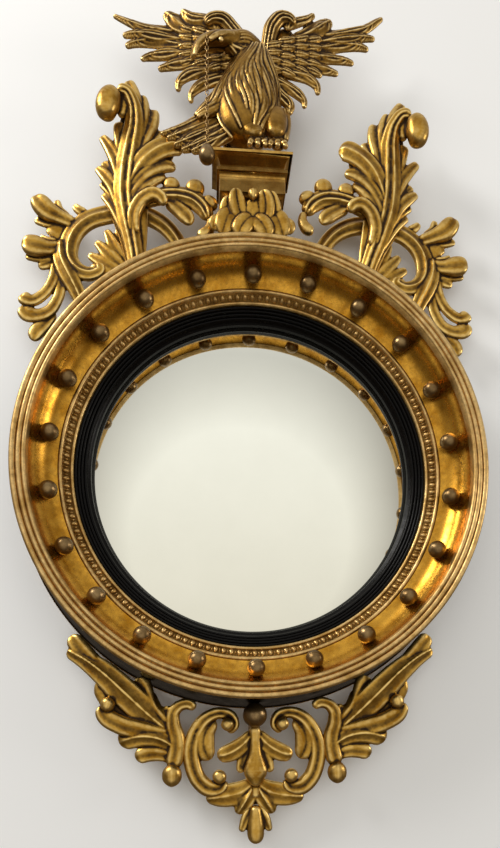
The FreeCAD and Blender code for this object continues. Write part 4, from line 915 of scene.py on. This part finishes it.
# %% Carve the apron's C-scrolls, drop and leaves
APRON_FOOT = (0.0, -RING)
APRON_SCROLL = (
    (9, spooned(0.3), ((36, -30, 5, 2), (27, -21, 6, 2), (31, -10, 7, 1), (46, -5, 7, 0),
        (64, -12, 8, 0), (77, -29, 9, 0), (83, -50, 10, 0), (81, -72, 10, 0), (73, -91, 10, 0),
        (59, -102, 10, 0), (45, -101, 8, 1), (39, -92, 6, 2))),
    (9, smooth_face, ((30, -26, 8, 4), (36, -20, 8, 6), (42, -14, 8, 4))),
    (9, smooth_face, ((41, -94, 8, 4), (47, -87, 8, 6), (53, -80, 8, 5))),
    (6, folded(0.4), ((52, -14, 7, 0), (65, -30, 12, 2), (67, -48, 13, 2), (59, -66, 9, 0))),
)
DROP_STEM = (
    (16, smooth_face, ((0, -14, 6, -9), (0, -60, 7, -9), (0, -118, 7, -9))),
    (8, smooth_face, ((0, -22, 7, 3), (0, -42, 6, 4), (0, -58, 7, 5), (0, -72, 11, 7),
        (0, -82, 13, 8), (0, -92, 9, 7), (0, -101, 3, 6))),
    *both_ways(6, fluted(2, 0.3), ((2, -30, 6, 1), (16, -46, 9, 3), (34, -57, 10, 3),
        (50, -61, 7, 2))),
    *both_ways(5, spooned(), ((3, -38, 6, 0), (13, -60, 8, 2), (21, -83, 4, 2))),
)
LOWER_LEAVES = (
    *both_ways(6, fluted(2, 0.3), ((0, -94, 7, -3), (18, -107, 12, 1), (40, -112, 12, 1),
        (56, -114, 8, -1), (64, -115, 4, -3))),
    *both_ways(7, fluted(2, 0.4), ((2, -98, 7, -3), (12, -116, 10, 2), (24, -135, 5, 0))),
    (6, smooth_face, ((0, -90, 6, -4), (0, -112, 7, -4), (0, -124, 6, -4))),
)
PENDANT = (
    (10, smooth_face, ((0, -124, 6, 0), (0, -138, 9, 1), (0, -154, 11, 2), (0, -168, 9, 2),
        (0, -173, 5, 1))),
    *both_ways(6, spooned(), ((4, -125, 5, 0), (12, -141, 7, 1), (19, -158, 4, 0))),
)
carved_both("apron_scroll", APRON_SCROLL, APRON_FOOT, APRON_DEPTH, fuller=1.12)
carved("apron_drop", DROP_STEM, APRON_FOOT, APRON_DEPTH, fuller=1.2)
carved("apron_lower_leaves", LOWER_LEAVES, APRON_FOOT, APRON_DEPTH, fuller=1.2)
carved("apron_pendant", PENDANT, APRON_FOOT, APRON_DEPTH)

# %% [markdown]
# ## Balls
# The twenty-two balls in the cove are turned wood on flat seats, and a larger one caps the apron's
# stem. No hand-turned ball is quite round, so each gets a slight, different stretch.

# %% Turn the balls
BALL_COUNT, BALL_RADIUS, BALL_SEAT = 22, 12.0, 10.5
COVE_CURVE, COVE_RADIUS, COVE_DEPTH, BALL_LEAN = 38.0, 247.0, 89.0, math.radians(44)
reach = math.sqrt(COVE_CURVE ** 2 - (BALL_RADIUS ** 2 - BALL_SEAT ** 2)) - BALL_SEAT
ball_middle = Vector((0.0, -(COVE_DEPTH - reach * math.cos(BALL_LEAN)),
                      COVE_RADIUS + reach * math.sin(BALL_LEAN)))
chance = np.random.default_rng(7)
bm = bmesh.new()
for i in range(BALL_COUNT):
    made = bmesh.ops.create_uvsphere(bm, u_segments=32, v_segments=20, radius=BALL_RADIUS)["verts"]
    bmesh.ops.scale(bm, vec=1.0 + chance.uniform(-0.03, 0.0, 3), verts=made)
    bmesh.ops.translate(bm, vec=ball_middle, verts=made)
    bmesh.ops.rotate(bm, verts=made, cent=(0, 0, 0),
                     matrix=Matrix.Rotation(math.tau * i / BALL_COUNT, 3, "Y"))
hand_over(to_object(bm, "cavetto_balls_turned", 80.0), ball_gilt, ["cavetto_balls"])

bm = bmesh.new()
made = bmesh.ops.create_uvsphere(bm, u_segments=48, v_segments=32, radius=16.0)["verts"]
bmesh.ops.translate(bm, vec=(0.0, -36.0, -RING - 8.0), verts=made)
hand_over(to_object(bm, "apron_ball_turned", 80.0), ball_gilt, ["apron_ball"])

# %% [markdown]
# ## The plinth
# The eagle stands on a moulded block: a plain dado below, and above it a cap with a fillet, a
# hollow and a square edge. It is drawn as one rectangle and extruded upwards, level by level,
# while each new rectangle gets its own width; a curved hollow is simply many short levels.

# %% Extrude the plinth
def rising_stack(bm, levels):
    """Extrudes a rectangle upwards. A level is (height, width, back depth, front depth)."""
    start = bmesh.ops.create_grid(bm, x_segments=1, y_segments=1, size=1.0)["verts"]
    face = start[0].link_faces[0]
    corners = start
    for number, (height, width, near, far) in enumerate(levels):
        if number:
            grown = bmesh.ops.extrude_face_region(bm, geom=[face])["geom"]
            corners = [item for item in grown if isinstance(item, bmesh.types.BMVert)]
            face = next(item for item in grown if isinstance(item, bmesh.types.BMFace))
        middle = sum(corner.co.y for corner in corners) / 4
        for corner in corners:
            side = width / 2 if corner.co.x > 0 else -width / 2
            corner.co = (side, -near if corner.co.y > middle else -far, height)


PEDESTAL_TOP, BLOCK_TOP, CAP_TOP, STAND_BACK = 377.0, 403.0, 438.0, 9.0


def hollow_levels(low, high, narrow, wide, front, count=10):
    """The levels of a hollow that spreads outwards as it rises."""
    levels = []
    for i in range(count + 1):
        share = i / count
        out = 1.0 - math.sqrt(1.0 - share ** 2)
        levels.append((low + (high - low) * share, narrow + (wide - narrow) * out, STAND_BACK,
                       front + (wide - narrow) / 2 * out))
    return levels


bm = bmesh.new()
rising_stack(bm, [(PEDESTAL_TOP, 82, STAND_BACK, 69), (PEDESTAL_TOP + 5, 90, STAND_BACK, 73),
                  (BLOCK_TOP, 90, STAND_BACK, 73)])
bmesh.ops.bevel(bm, geom=bm.edges[:], offset=0.8, offset_type="OFFSET", segments=2, profile=0.5,
                affect="EDGES", material=-1)
hand_over(to_object(bm, "plinth_block_moulded", 40.0), plinth_gilt, ["plinth_block"])
bm = bmesh.new()
cap = [(BLOCK_TOP, 90, STAND_BACK, 73), (BLOCK_TOP + 7.5, 90, STAND_BACK, 73),
       (BLOCK_TOP + 8, 97, STAND_BACK, 76), (BLOCK_TOP + 12.5, 97, STAND_BACK, 76)]
cap += hollow_levels(BLOCK_TOP + 13, CAP_TOP - 4.5, 88, 105, 71.5)
cap += [(CAP_TOP - 4, 110, STAND_BACK, 82), (CAP_TOP, 110, STAND_BACK, 82)]
rising_stack(bm, cap)
creases = [edge for edge in bm.edges if edge.calc_face_angle(0.0) > math.radians(40)]
bmesh.ops.bevel(bm, geom=creases, offset=0.5, offset_type="OFFSET", segments=2, profile=0.5,
                affect="EDGES", material=-1, clamp_overlap=True)
hand_over(to_object(bm, "plinth_cap_moulded", 40.0), plinth_gilt, ["plinth_cap"])

# %% [markdown]
# ## The pedestal's leaves
# Under the plinth stands a short pedestal clad in folded acanthus: a flat trapezoid in the middle,
# sharp folded leaves beside it, and broad drooping ones at the foot.

# %% Carve the pedestal
PEDESTAL_DEPTH = 61.0
PEDESTAL = (
    (7, smooth_face, ((0, 14, 12, 2), (0, 39, 11, 6), (0, 64, 6, 12))),
    (8, smooth_face, ((-6, 66, 5, 14), (0, 69, 7, 16), (6, 66, 5, 14))),
    (6, folded(), ((-8, 22, 8, 4), (-17, 40, 9, 8), (-22, 60, 9, 13), (-24, 79, 5, 16))),
    (6, folded(), ((8, 22, 8, 4), (17, 40, 9, 8), (18, 60, 9, 13), (14, 79, 5, 16))),
    (6, folded(), ((24, 28, 8, 2), (28, 46, 9, 7), (27, 64, 7, 13), (24, 77, 4, 15))),
    (6, folded(), ((-30, 26, 8, 2), (-34, 43, 9, 6), (-33, 57, 7, 9), (-29, 66, 4, 12))),
    *both_ways(6, folded(0.45), ((0, 37, 6, 8), (-8, 31, 10, 12), (-16, 20, 10, 13),
        (-20, 6, 7, 10))),
    *both_ways(6, folded(0.45), ((24, 45, 6, 4), (33, 37, 11, 8), (38, 24, 11, 9), (42, 8, 8, 6))),
    *both_ways(5, folded(0.45), ((38, 32, 6, -4), (48, 26, 9, -2), (54, 14, 6, -4))),
)


def pedestal_core(bm):
    rising_stack(bm, [(RING - 12, 82, STAND_BACK, 60), (RING + 8, 88, STAND_BACK, 60),
                      (RING + 22, 64, STAND_BACK, 56), (RING + 36, 60, STAND_BACK, 55),
                      (PEDESTAL_TOP - 8, 68, STAND_BACK, 59), (PEDESTAL_TOP, 72, STAND_BACK, 61)])


def side_leaves(bm):
    """The core, and two spooned leaves on each of its two sides, turned a quarter."""
    pedestal_core(bm)
    for side in (-1, 1):
        for x, lift in ((-14, 0), (8, 1)):
            made = stroke(bm, 6, [(x - 3, RING + 2, 7, 0), (x, RING + 26, 9, 0),
                                  (x, RING + 44, 8, 2), (x + 3, RING + 57, 5, 4)], spooned())
            bmesh.ops.rotate(bm, verts=made, cent=(0, 0, 0),
                             matrix=Matrix.Rotation(math.radians(90 * side), 3, "Z"))
            bmesh.ops.translate(bm, vec=(side * (31 + lift), -36, 0), verts=made)


carved("pedestal_acanthus", PEDESTAL, (0.0, RING), PEDESTAL_DEPTH, fuller=1.35, voxel=1.0,
       extra=side_leaves)

# %% [markdown]
# ## The eagle
# Its body is a tall rounded form that bends forward into the head, and long wavy hackles run from
# the crown down over the breast. Each hackle is a thin stroke laid on the body's own surface, with
# a little wander, and nearly three hundred of them are melted into the body.

# %% Lay hackles over a form
HACKLE_DRIFT, SHORTEST_RUN = math.radians(14.0), 0.36
HACKLE_SINK = np.array((-1.0, 0.3, 0.8, 1.0, 0.9, 0.5, -0.3))
HACKLE_WIDTHS = np.array((0.6, 1.0, 1.15, 1.2, 1.05, 0.8, 0.4))


def hackles(bm, guide, count, start, end, size, seed):
    """Thin strokes on the surface of a guide stroke, between two shares of its length."""
    half_depth, cut, stations = guide
    chance = np.random.default_rng(seed)
    for number in range(count):
        side = math.radians(360.0 * (number + chance.uniform(0, 0.9)) / count)
        first = chance.uniform(start, max(start, end - SHORTEST_RUN))
        last = min(end, first + chance.uniform(0.30, 0.50))
        shares = np.linspace(first, last, len(HACKLE_WIDTHS))
        line, middle, across, out = frames_along(stations, shares)
        wave = np.sin(7.0 * shares + 2.0 * side + chance.uniform(0, 0.5))
        swing = side + HACKLE_DRIFT * wave
        widest = np.array(stations)[:, 2].max()
        wide = (line[:, 2] + HACKLE_SINK) * np.cos(swing)
        tall = (thickness_along(half_depth, line[:, 2], widest) + HACKLE_SINK) * np.sin(swing)
        points = middle + across * wide[:, None] + out * tall[:, None]
        drawn = [(p[0], p[2], w, -p[1]) for p, w in zip(points, size * HACKLE_WIDTHS)]
        stroke(bm, size * 0.95, drawn, around=8, step=3.0, back=1.0)


print("hackles ready")

# %% Carve the eagle's body and head
EAGLE_DEPTH = 58.0
PERCH = (0.0, CAP_TOP)
BREAST = (30, smooth_face, ((-4, 22, 28, 0), (-9, 50, 38, 2), (-7, 78, 45, 2), (-2, 105, 42, 2),
                            (1, 130, 35, 2), (4, 152, 27, 3), (7, 172, 17, 4)))
NECK = (14, smooth_face, ((8, 156, 20, 2), (-8, 180, 14, 12), (-34, 187, 11, 24), (-57, 186, 9, 29),
                          (-73, 178, 7, 31), (-81, 165, 5, 31), (-84, 153, 3, 30)))
THROAT = (12, smooth_face, ((2, 146, 18, 6), (-14, 165, 13, 14), (-29, 174, 9, 18),
                            (-42, 178, 6, 19)))
LOWER_BEAK = (5, smooth_face, ((-34, 175, 7, 17), (-52, 173, 5, 19), (-66, 168, 4, 20),
                               (-76, 161, 3, 20)))
FLANK = (13, smooth_face, ((-14, 146, 14, 8), (-22, 120, 17, 10), (-36, 96, 17, 9),
                           (-54, 74, 14, 6), (-76, 56, 9, 4)))
BROW = (3, smooth_face, ((-24, 196, 3, 30), (-38, 197, 4, 34), (-52, 192, 4, 37),
                         (-62, 184, 3, 37)))
EYE = (3, smooth_face, ((-42, 187, 2, 35), (-45, 186, 4, 36), (-48, 185, 2, 35)))


def on_perch(form):
    half_depth, cut, stations = form
    return half_depth, cut, as_seen(stations, PERCH, EAGLE_DEPTH)


def body_hackles(bm):
    hackles(bm, on_perch(BREAST), 150, 0.02, 0.99, 2.4, seed=11)
    hackles(bm, on_perch(FLANK), 60, 0.0, 1.0, 2.3, seed=13)
    hackles(bm, on_perch(NECK), 40, 0.0, 0.34, 2.0, seed=12)
    hackles(bm, on_perch(THROAT), 34, 0.0, 0.8, 1.9, seed=14)


carved("eagle_body", (BREAST, NECK, THROAT, LOWER_BEAK, FLANK, BROW, EYE), PERCH, EAGLE_DEPTH,
       eagle_gilt, voxel=1.0, settle=1, extra=body_hackles)

# %% Carve the thighs, talons and tail
LEGS = [
    (12, smooth_face, ((33, 84, 12, 8), (34, 66, 16, 13), (33, 50, 14, 16), (33, 38, 9, 18))),
    (8, fluted(2, 0.2), ((46, 84, 6, 0), (48, 66, 8, 3), (47, 48, 7, 8), (46, 36, 5, 14))),
    (12, smooth_face, ((-10, 62, 14, 6), (-3, 50, 16, 13), (4, 42, 13, 17), (7, 34, 8, 18))),
]
for ankle in (36, 8):
    LEGS.append((8, smooth_face, ((ankle, 38, 9, 10), (ankle, 30, 10, 14), (ankle, 24, 8, 18))))
    for spread_out in (-13, -1, 11):
        LEGS.append((6, ringed(), ((ankle + spread_out * 0.3, 34, 5, 16),
                                   (ankle + spread_out * 0.8, 31, 5, 21),
                                   (ankle + spread_out, 26, 3, 24))))
carved("eagle_legs", LEGS, PERCH, EAGLE_DEPTH, eagle_gilt, voxel=0.9)

TAIL = (
    (6, feathered(), ((-30, 84, 8, 0), (-60, 67, 9, 2), (-92, 48, 7, 1), (-126, 33, 4, -2))),
    (6, feathered(), ((-28, 72, 9, 3), (-60, 55, 9, 4), (-92, 38, 9, 2), (-118, 27, 4, -1))),
    (6, feathered(), ((-26, 62, 9, 5), (-55, 45, 9, 6), (-85, 28, 9, 4), (-108, 18, 4, 1))),
    (6, feathered(), ((-24, 54, 9, 7), (-52, 36, 9, 8), (-78, 20, 8, 6), (-98, 11, 4, 3))),
    (6, feathered(), ((-22, 46, 9, 8), (-48, 30, 9, 10), (-70, 17, 8, 8), (-84, 10, 4, 6))),
)
TAIL_ROOT = (9, smooth_face, ((-20, 66, 22, 0), (-52, 50, 20, 2), (-80, 36, 16, 1),
                              (-100, 27, 9, -1)))
carved("eagle_tail", TAIL + (TAIL_ROOT,), PERCH, EAGLE_DEPTH, eagle_gilt, voxel=1.0, settle=1)

# %% [markdown]
# ### The wings
# The shoulder of each wing arches up and curls over. From it fan the long flight feathers, with
# slanting barbs cut on both sides of the quill, and below them shorter feathers that curl down.
# Rows of small coverts lap over their roots. A smooth stroke behind each arch closes the gap to the
# feathers. The two wings are not alike, so each has its own strokes.

# %% Carve the wings
LEFT_WING = (
    (5, smooth_face, ((-22, 150, 14, -5), (-36, 182, 16, -5), (-46, 206, 11, -4))),
    (10, fluted(4, 0.35), ((-8, 178, 12, 2), (-26, 203, 11, 5), (-40, 217, 11, 7), (-55, 217, 9, 8),
        (-66, 208, 7, 7))),
    (12, fluted(4, 0.22), ((-16, 160, 14, -4), (-38, 172, 22, -4), (-66, 174, 16, -3),
        (-90, 176, 9, -5))),
    (5, feathered(), ((-40, 206, 9, 4), (-64, 213, 11, 5), (-85, 216, 10, 3), (-98, 227, 4, 1))),
    (5, feathered(), ((-60, 186, 9, 0), (-90, 196, 12, 0), (-109, 210, 12, -2),
        (-121, 221, 6, -4))),
    (5, feathered(), ((-50, 178, 9, 0), (-110, 189, 10, -6), (-150, 194, 8, -5),
        (-178, 204, 5, -6), (-192, 210, 3, -7))),
    (5, feathered(), ((-50, 172, 9, 1), (-110, 179, 10, -4), (-150, 184, 8, -4),
        (-170, 182, 6, -5), (-179, 179, 4, -5))),
    (5, feathered(), ((-46, 164, 9, 2), (-100, 170, 10, -3), (-142, 173, 9, -8),
        (-166, 168, 6, -5), (-175, 163, 4, -5))),
    (5, feathered(), ((-42, 156, 9, 3), (-95, 158, 10, -2), (-128, 154, 9, -6), (-145, 149, 6, -8),
        (-153, 145, 3, -4))),
    (5, feathered(), ((-38, 148, 9, 3), (-84, 146, 10, 1), (-112, 139, 8, -3), (-130, 132, 4, -5))),
    (5, feathered(), ((-34, 140, 9, 3), (-66, 134, 10, 4), (-90, 126, 9, 2), (-101, 113, 6, 1),
        (-102, 100, 3, 0))),
    (5, feathered(), ((-30, 128, 9, 4), (-56, 120, 10, 5), (-76, 108, 8, 4), (-84, 96, 5, 3),
        (-84, 84, 3, 3))),
)
RIGHT_WING = (
    (5, smooth_face, ((30, 145, 14, -5), (44, 182, 16, -5), (54, 210, 11, -4))),
    (10, fluted(4, 0.35), ((22, 160, 9, 2), (25, 190, 10, 4), (31, 213, 11, 6), (43, 227, 10, 8),
        (56, 226, 8, 7), (64, 218, 6, 6))),
    (12, fluted(4, 0.22), ((22, 150, 14, -4), (44, 168, 20, -4), (70, 178, 15, -3),
        (100, 182, 9, -5))),
    (5, feathered(), ((46, 214, 9, 4), (66, 222, 8, 4), (82, 229, 6, 3), (92, 237, 4, 1))),
    (5, feathered(), ((56, 190, 9, 0), (86, 206, 12, 0), (105, 220, 11, -2), (117, 229, 6, -4))),
    (5, feathered(), ((50, 182, 9, -2), (100, 200, 10, -6), (140, 210, 9, -5), (168, 221, 7, -6),
        (185, 234, 5, -7), (193, 240, 3, -7))),
    (5, feathered(), ((50, 176, 9, -1), (100, 191, 10, -5), (145, 203, 8, -4), (170, 206, 6, -5),
        (181, 205, 4, -5))),
    (5, feathered(), ((46, 169, 9, 0), (98, 181, 10, -4), (134, 190, 9, -7), (158, 191, 7, -4),
        (171, 187, 4, -5))),
    (5, feathered(), ((44, 160, 9, 2), (92, 168, 10, -2), (124, 168, 8, -5), (140, 166, 6, -7),
        (149, 163, 4, -8))),
    (5, feathered(), ((40, 152, 9, 3), (82, 153, 10, 0), (108, 150, 8, -3), (126, 145, 4, -5))),
    (5, feathered(), ((34, 142, 9, 3), (63, 139, 9, 4), (83, 134, 9, 2), (94, 122, 6, 1),
        (95, 110, 3, 0))),
    (5, feathered(), ((30, 130, 9, 4), (52, 119, 9, 5), (68, 108, 8, 4), (75, 98, 5, 3),
        (75, 88, 3, 3))),
    (6, feathered(), ((26, 118, 9, 5), (42, 104, 9, 5), (54, 90, 8, 4), (52, 76, 4, 4))),
)
COVERT_ROWS = ((88, 194, 5, 1), (70, 194, 5, 4), (50, 190, 5, 7), (32, 182, 4, 9))
COVERT_FALL = 11


def coverts(outward):
    """The rows of small feathers; a row is (reach, top, how many, how far forward)."""
    rows = []
    for reach, top, count, lift in COVERT_ROWS:
        for i in range(count):
            low, drop = top - COVERT_FALL * i, 4 * i - 6
            rows.append((4, feathered(3.8, 0.4), (
                (outward * (reach - 12), low, 5, lift - 2),
                (outward * reach, low - drop * 0.3, 7, lift + 1),
                (outward * (reach + 14), low - drop, 4, lift - 2))))
    return tuple(rows)


for side, wing, outward in (("left", LEFT_WING, -1), ("right", RIGHT_WING, 1)):
    carved("eagle_wing_" + side, wing + coverts(outward), PERCH, EAGLE_DEPTH, eagle_gilt,
           voxel=1.0, settle=1)

# %% [markdown]
# ## The chain and the drop
# A fine chain of round wire hangs from a staple in the beak and carries a gilt drop. A link starts
# as a ring, a small circle spun round, and its two halves are drawn apart. Every second link
# stands across its neighbours. The chain bends at its top link, between its two lengths and at the
# drop's eye, so those are separate pieces on separate bodies.

# %% Bend the links
CHAIN_X, CHAIN_DEPTH, LOOP_TOP, PITCH = -62.0, 98.0, 584.0, 5.45
WIRE, LINK_HALF_WIDTH, LINK_HALF_LENGTH = 0.55, 1.95, 3.45


def link(bm, index):
    """A link of round wire; even links lie along the wall, odd ones stand across it."""
    ring = bmesh.ops.create_circle(bm, cap_ends=False, segments=8, radius=WIRE)["verts"]
    bmesh.ops.translate(bm, vec=(LINK_HALF_WIDTH, 0, 0), verts=ring)
    edges = list({edge for vertex in ring for edge in vertex.link_edges})
    bmesh.ops.spin(bm, geom=ring + edges, cent=(0, 0, 0), axis=(0, 1, 0), angle=math.tau, steps=16,
                   use_merge=True)
    loop = [vertex for vertex in bm.verts if not vertex.tag]
    for vertex in loop:
        vertex.co.z += math.copysign(LINK_HALF_LENGTH - LINK_HALF_WIDTH, vertex.co.z + 0.001)
        vertex.tag = True
    if index % 2:
        bmesh.ops.rotate(bm, verts=loop, cent=(0, 0, 0),
                         matrix=Matrix.Rotation(math.pi / 2, 3, "Z"))
    middle = LOOP_TOP - PITCH * (index + 1)
    bmesh.ops.translate(bm, vec=(CHAIN_X, -CHAIN_DEPTH, middle), verts=loop)


def wire_stem(bm, low, high):
    made = bmesh.ops.create_cone(bm, cap_ends=True, segments=10, radius1=WIRE, radius2=WIRE,
                                 depth=high - low)["verts"]
    bmesh.ops.translate(bm, vec=(CHAIN_X, -CHAIN_DEPTH, (low + high) / 2), verts=made)
    for vertex in made:
        vertex.tag = True


def chain_piece(name, indices, node, body, stem=None):
    bm = bmesh.new()
    for index in indices:
        link(bm, index)
    if stem:
        wire_stem(bm, *stem)
    hand_over(to_object(bm, name, 60.0), chain_brass, [node], body)


STAPLE_LOW = LOOP_TOP + 3.6
FIRST_LOWER, EYE_INDEX = 14, 27
DROP_TOP = LOOP_TOP - PITCH * (EYE_INDEX + 1) - 4.0
chain_piece("beak_staple_bent", [-1], "beak_staple", "root", (STAPLE_LOW, STAPLE_LOW + 7))
chain_piece("chain_top_link_bent", [0], "chain_top_link", "chain_top_link")
chain_piece("chain_upper_bent", range(1, FIRST_LOWER), "chain_upper", "chain_upper")
chain_piece("chain_lower_bent", range(FIRST_LOWER, EYE_INDEX), "chain_lower", "chain_lower")
chain_piece("drop_eye_bent", [EYE_INDEX], "drop_eye", "drop", (DROP_TOP - 7.5, DROP_TOP + 0.5))

# %% Turn the drop
DROP_HEIGHT, DROP_RADIUS, EGG_TAPER, EGG_SCALE = 28.0, 11.0, 0.22, 1.05
bm = bmesh.new()
made = bmesh.ops.create_uvsphere(bm, u_segments=40, v_segments=28, radius=1.0)["verts"]
for vertex in made:
    x, y, z = vertex.co
    egg = DROP_RADIUS * (1.0 - EGG_TAPER * z) / EGG_SCALE
    vertex.co = (CHAIN_X + x * egg, -CHAIN_DEPTH + y * egg,
                 DROP_TOP - DROP_HEIGHT / 2 + z * DROP_HEIGHT / 2)
hand_over(to_object(bm, "drop_ball_turned", 80.0), ball_gilt, ["drop_ball"], "drop")

# %% [markdown]
# ## The back
# The backboard, the battens, the pegs, the screws and the hanging plate already have their right
# shapes in the solid model. They only need their finishes.

# %% Finish the pieces of the back
BACK_FINISHES = {"backboard": pine, "crest_batten": pine, "apron_batten": pine,
                 "glass_blocks": pine, "crest_pegs": beech, "apron_pegs": beech,
                 "hanging_plate": plate_brass, "hanging_plate_screws": plate_brass,
                 "backboard_screws": old_steel, "crest_batten_screws": old_steel,
                 "apron_batten_screws": old_steel}
for node, finish in BACK_FINISHES.items():
    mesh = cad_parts[node].data
    mesh.materials.clear()
    mesh.materials.append(finish)
print("finished from the solid model:", sorted(BACK_FINISHES))

# %% [markdown]
# ## The room
# The mirror hangs on a pale wall over a pale floor. The wall is only seen from its front, so that
# the back can still be looked at, and it lets the room's light through to every side.

# %% Build the wall and the floor
WALL_GAP, SHEET_SIZE, FLOOR_HEIGHT = 0.0015, 6.0, -0.75


def stage_sheet(name, location, rotation, material):
    bm = bmesh.new()
    bmesh.ops.create_grid(bm, x_segments=1, y_segments=1, size=SHEET_SIZE / 2)
    bmesh.ops.rotate(bm, verts=bm.verts, cent=(0, 0, 0), matrix=rotation)
    bmesh.ops.translate(bm, vec=location, verts=bm.verts)
    mesh = bpy.data.meshes.new(name)
    bm.to_mesh(mesh)
    bm.free()
    sheet = bpy.data.objects.new(name, mesh)
    mesh.materials.append(material)
    bpy.context.scene.collection.objects.link(sheet)


def stage_finish(name, roughness, scale, detail, first, second, front_only=False):
    """A mottled finish that only the camera sees, if asked only from the sheet's front."""
    made, nodes, shader = plain(name, Roughness=roughness)
    mottled = noise(nodes, object_place(nodes), scale, detail)
    plug(nodes, shader, Base_Color=blend(nodes, mottled, first, second))
    shown = wire(nodes, "ShaderNodeLightPath").outputs["Is Camera Ray"]
    if front_only:
        rear = wire(nodes, "ShaderNodeNewGeometry").outputs["Backfacing"]
        shown = maths(nodes, "MULTIPLY", shown, maths(nodes, "SUBTRACT", 1.0, rear))
    clear = wire(nodes, "ShaderNodeBsdfTransparent").outputs[0]
    mixed = wire(nodes, "ShaderNodeMixShader", {0: shown, 1: clear, 2: shader.outputs[0]})
    plug(nodes, nodes.nodes["Material Output"], Surface=mixed.outputs[0])
    return made


plaster = stage_finish("plaster", 0.9, 1.6, 4.0, rgb(0.93, 0.94, 0.95), rgb(0.89, 0.90, 0.91),
                       front_only=True)
pale_floor = stage_finish("pale_floor", 0.8, 2.0, 3.0, rgb(0.76, 0.75, 0.73), rgb(0.70, 0.69, 0.67))
stage_sheet("wall", (0, WALL_GAP, 0), Matrix.Rotation(math.radians(90), 3, "X"), plaster)
stage_sheet("floor", (0, 0, FLOOR_HEIGHT), Matrix.Identity(3), pale_floor)
print("wall and floor set")

# %% [markdown]
# ## Light
# Gold shows what it reflects. In front of the mirror the room is pale, and the glass shows that;
# towards the sides, the floor and the back it is dim, and that makes the sides of each leaf brown.
# A window high on the left gives the bright edges and the soft shadow. Both lamps stand so far to
# the side that the convex glass, seen from the front, doesn't show them.

# %% Light the room
world = bpy.data.worlds.new("room")
world.use_nodes = True
bpy.context.scene.world = world
nodes = world.node_tree
direction = wire(nodes, "ShaderNodeTexCoord").outputs["Generated"]
parts = wire(nodes, "ShaderNodeSeparateXYZ", {0: direction}).outputs
ramp = wire(nodes, "ShaderNodeValToRGB", {0: spread(nodes, parts["Z"], -1.0, 1.0)})
stops = ramp.color_ramp.elements
stops[0].position, stops[0].color = 0.0, rgb(0.10, 0.075, 0.05)
stops[1].position, stops[1].color = 1.0, rgb(0.80, 0.80, 0.78)
for position, colour in ((0.42, rgb(0.13, 0.105, 0.08)), (0.62, rgb(0.24, 0.21, 0.18))):
    stop = stops.new(position)
    stop.color = colour
ahead = spread(nodes, parts["Y"], -0.60, -0.86)
pale = blend(nodes, spread(nodes, parts["Z"], -0.5, 0.5), rgb(0.80, 0.76, 0.68),
             rgb(0.98, 0.97, 0.93))
background = nodes.nodes["Background"]
plug(nodes, background, Color=blend(nodes, ahead, ramp.outputs["Color"], pale))
background.inputs["Strength"].default_value = 1.05

LAMPS = (("window", (-2.0, -1.1, 1.9), 1.0, 56.0, (1.0, 0.98, 0.95)),
         ("room_lamp", (2.6, -0.8, 0.3), 0.9, 16.0, (1.0, 0.95, 0.88)))
for name, location, size, power, colour in LAMPS:
    data = bpy.data.lights.new(name, "AREA")
    data.energy = power
    data.size = size
    data.color = colour
    lamp = bpy.data.objects.new(name, data)
    aim = (Vector((0, 0, 0.1)) - Vector(location)).to_track_quat("-Z", "Y")
    lamp.matrix_world = Matrix.Translation(location) @ aim.to_matrix().to_4x4()
    bpy.context.scene.collection.objects.link(lamp)
print("lamps:", [row[0] for row in LAMPS])
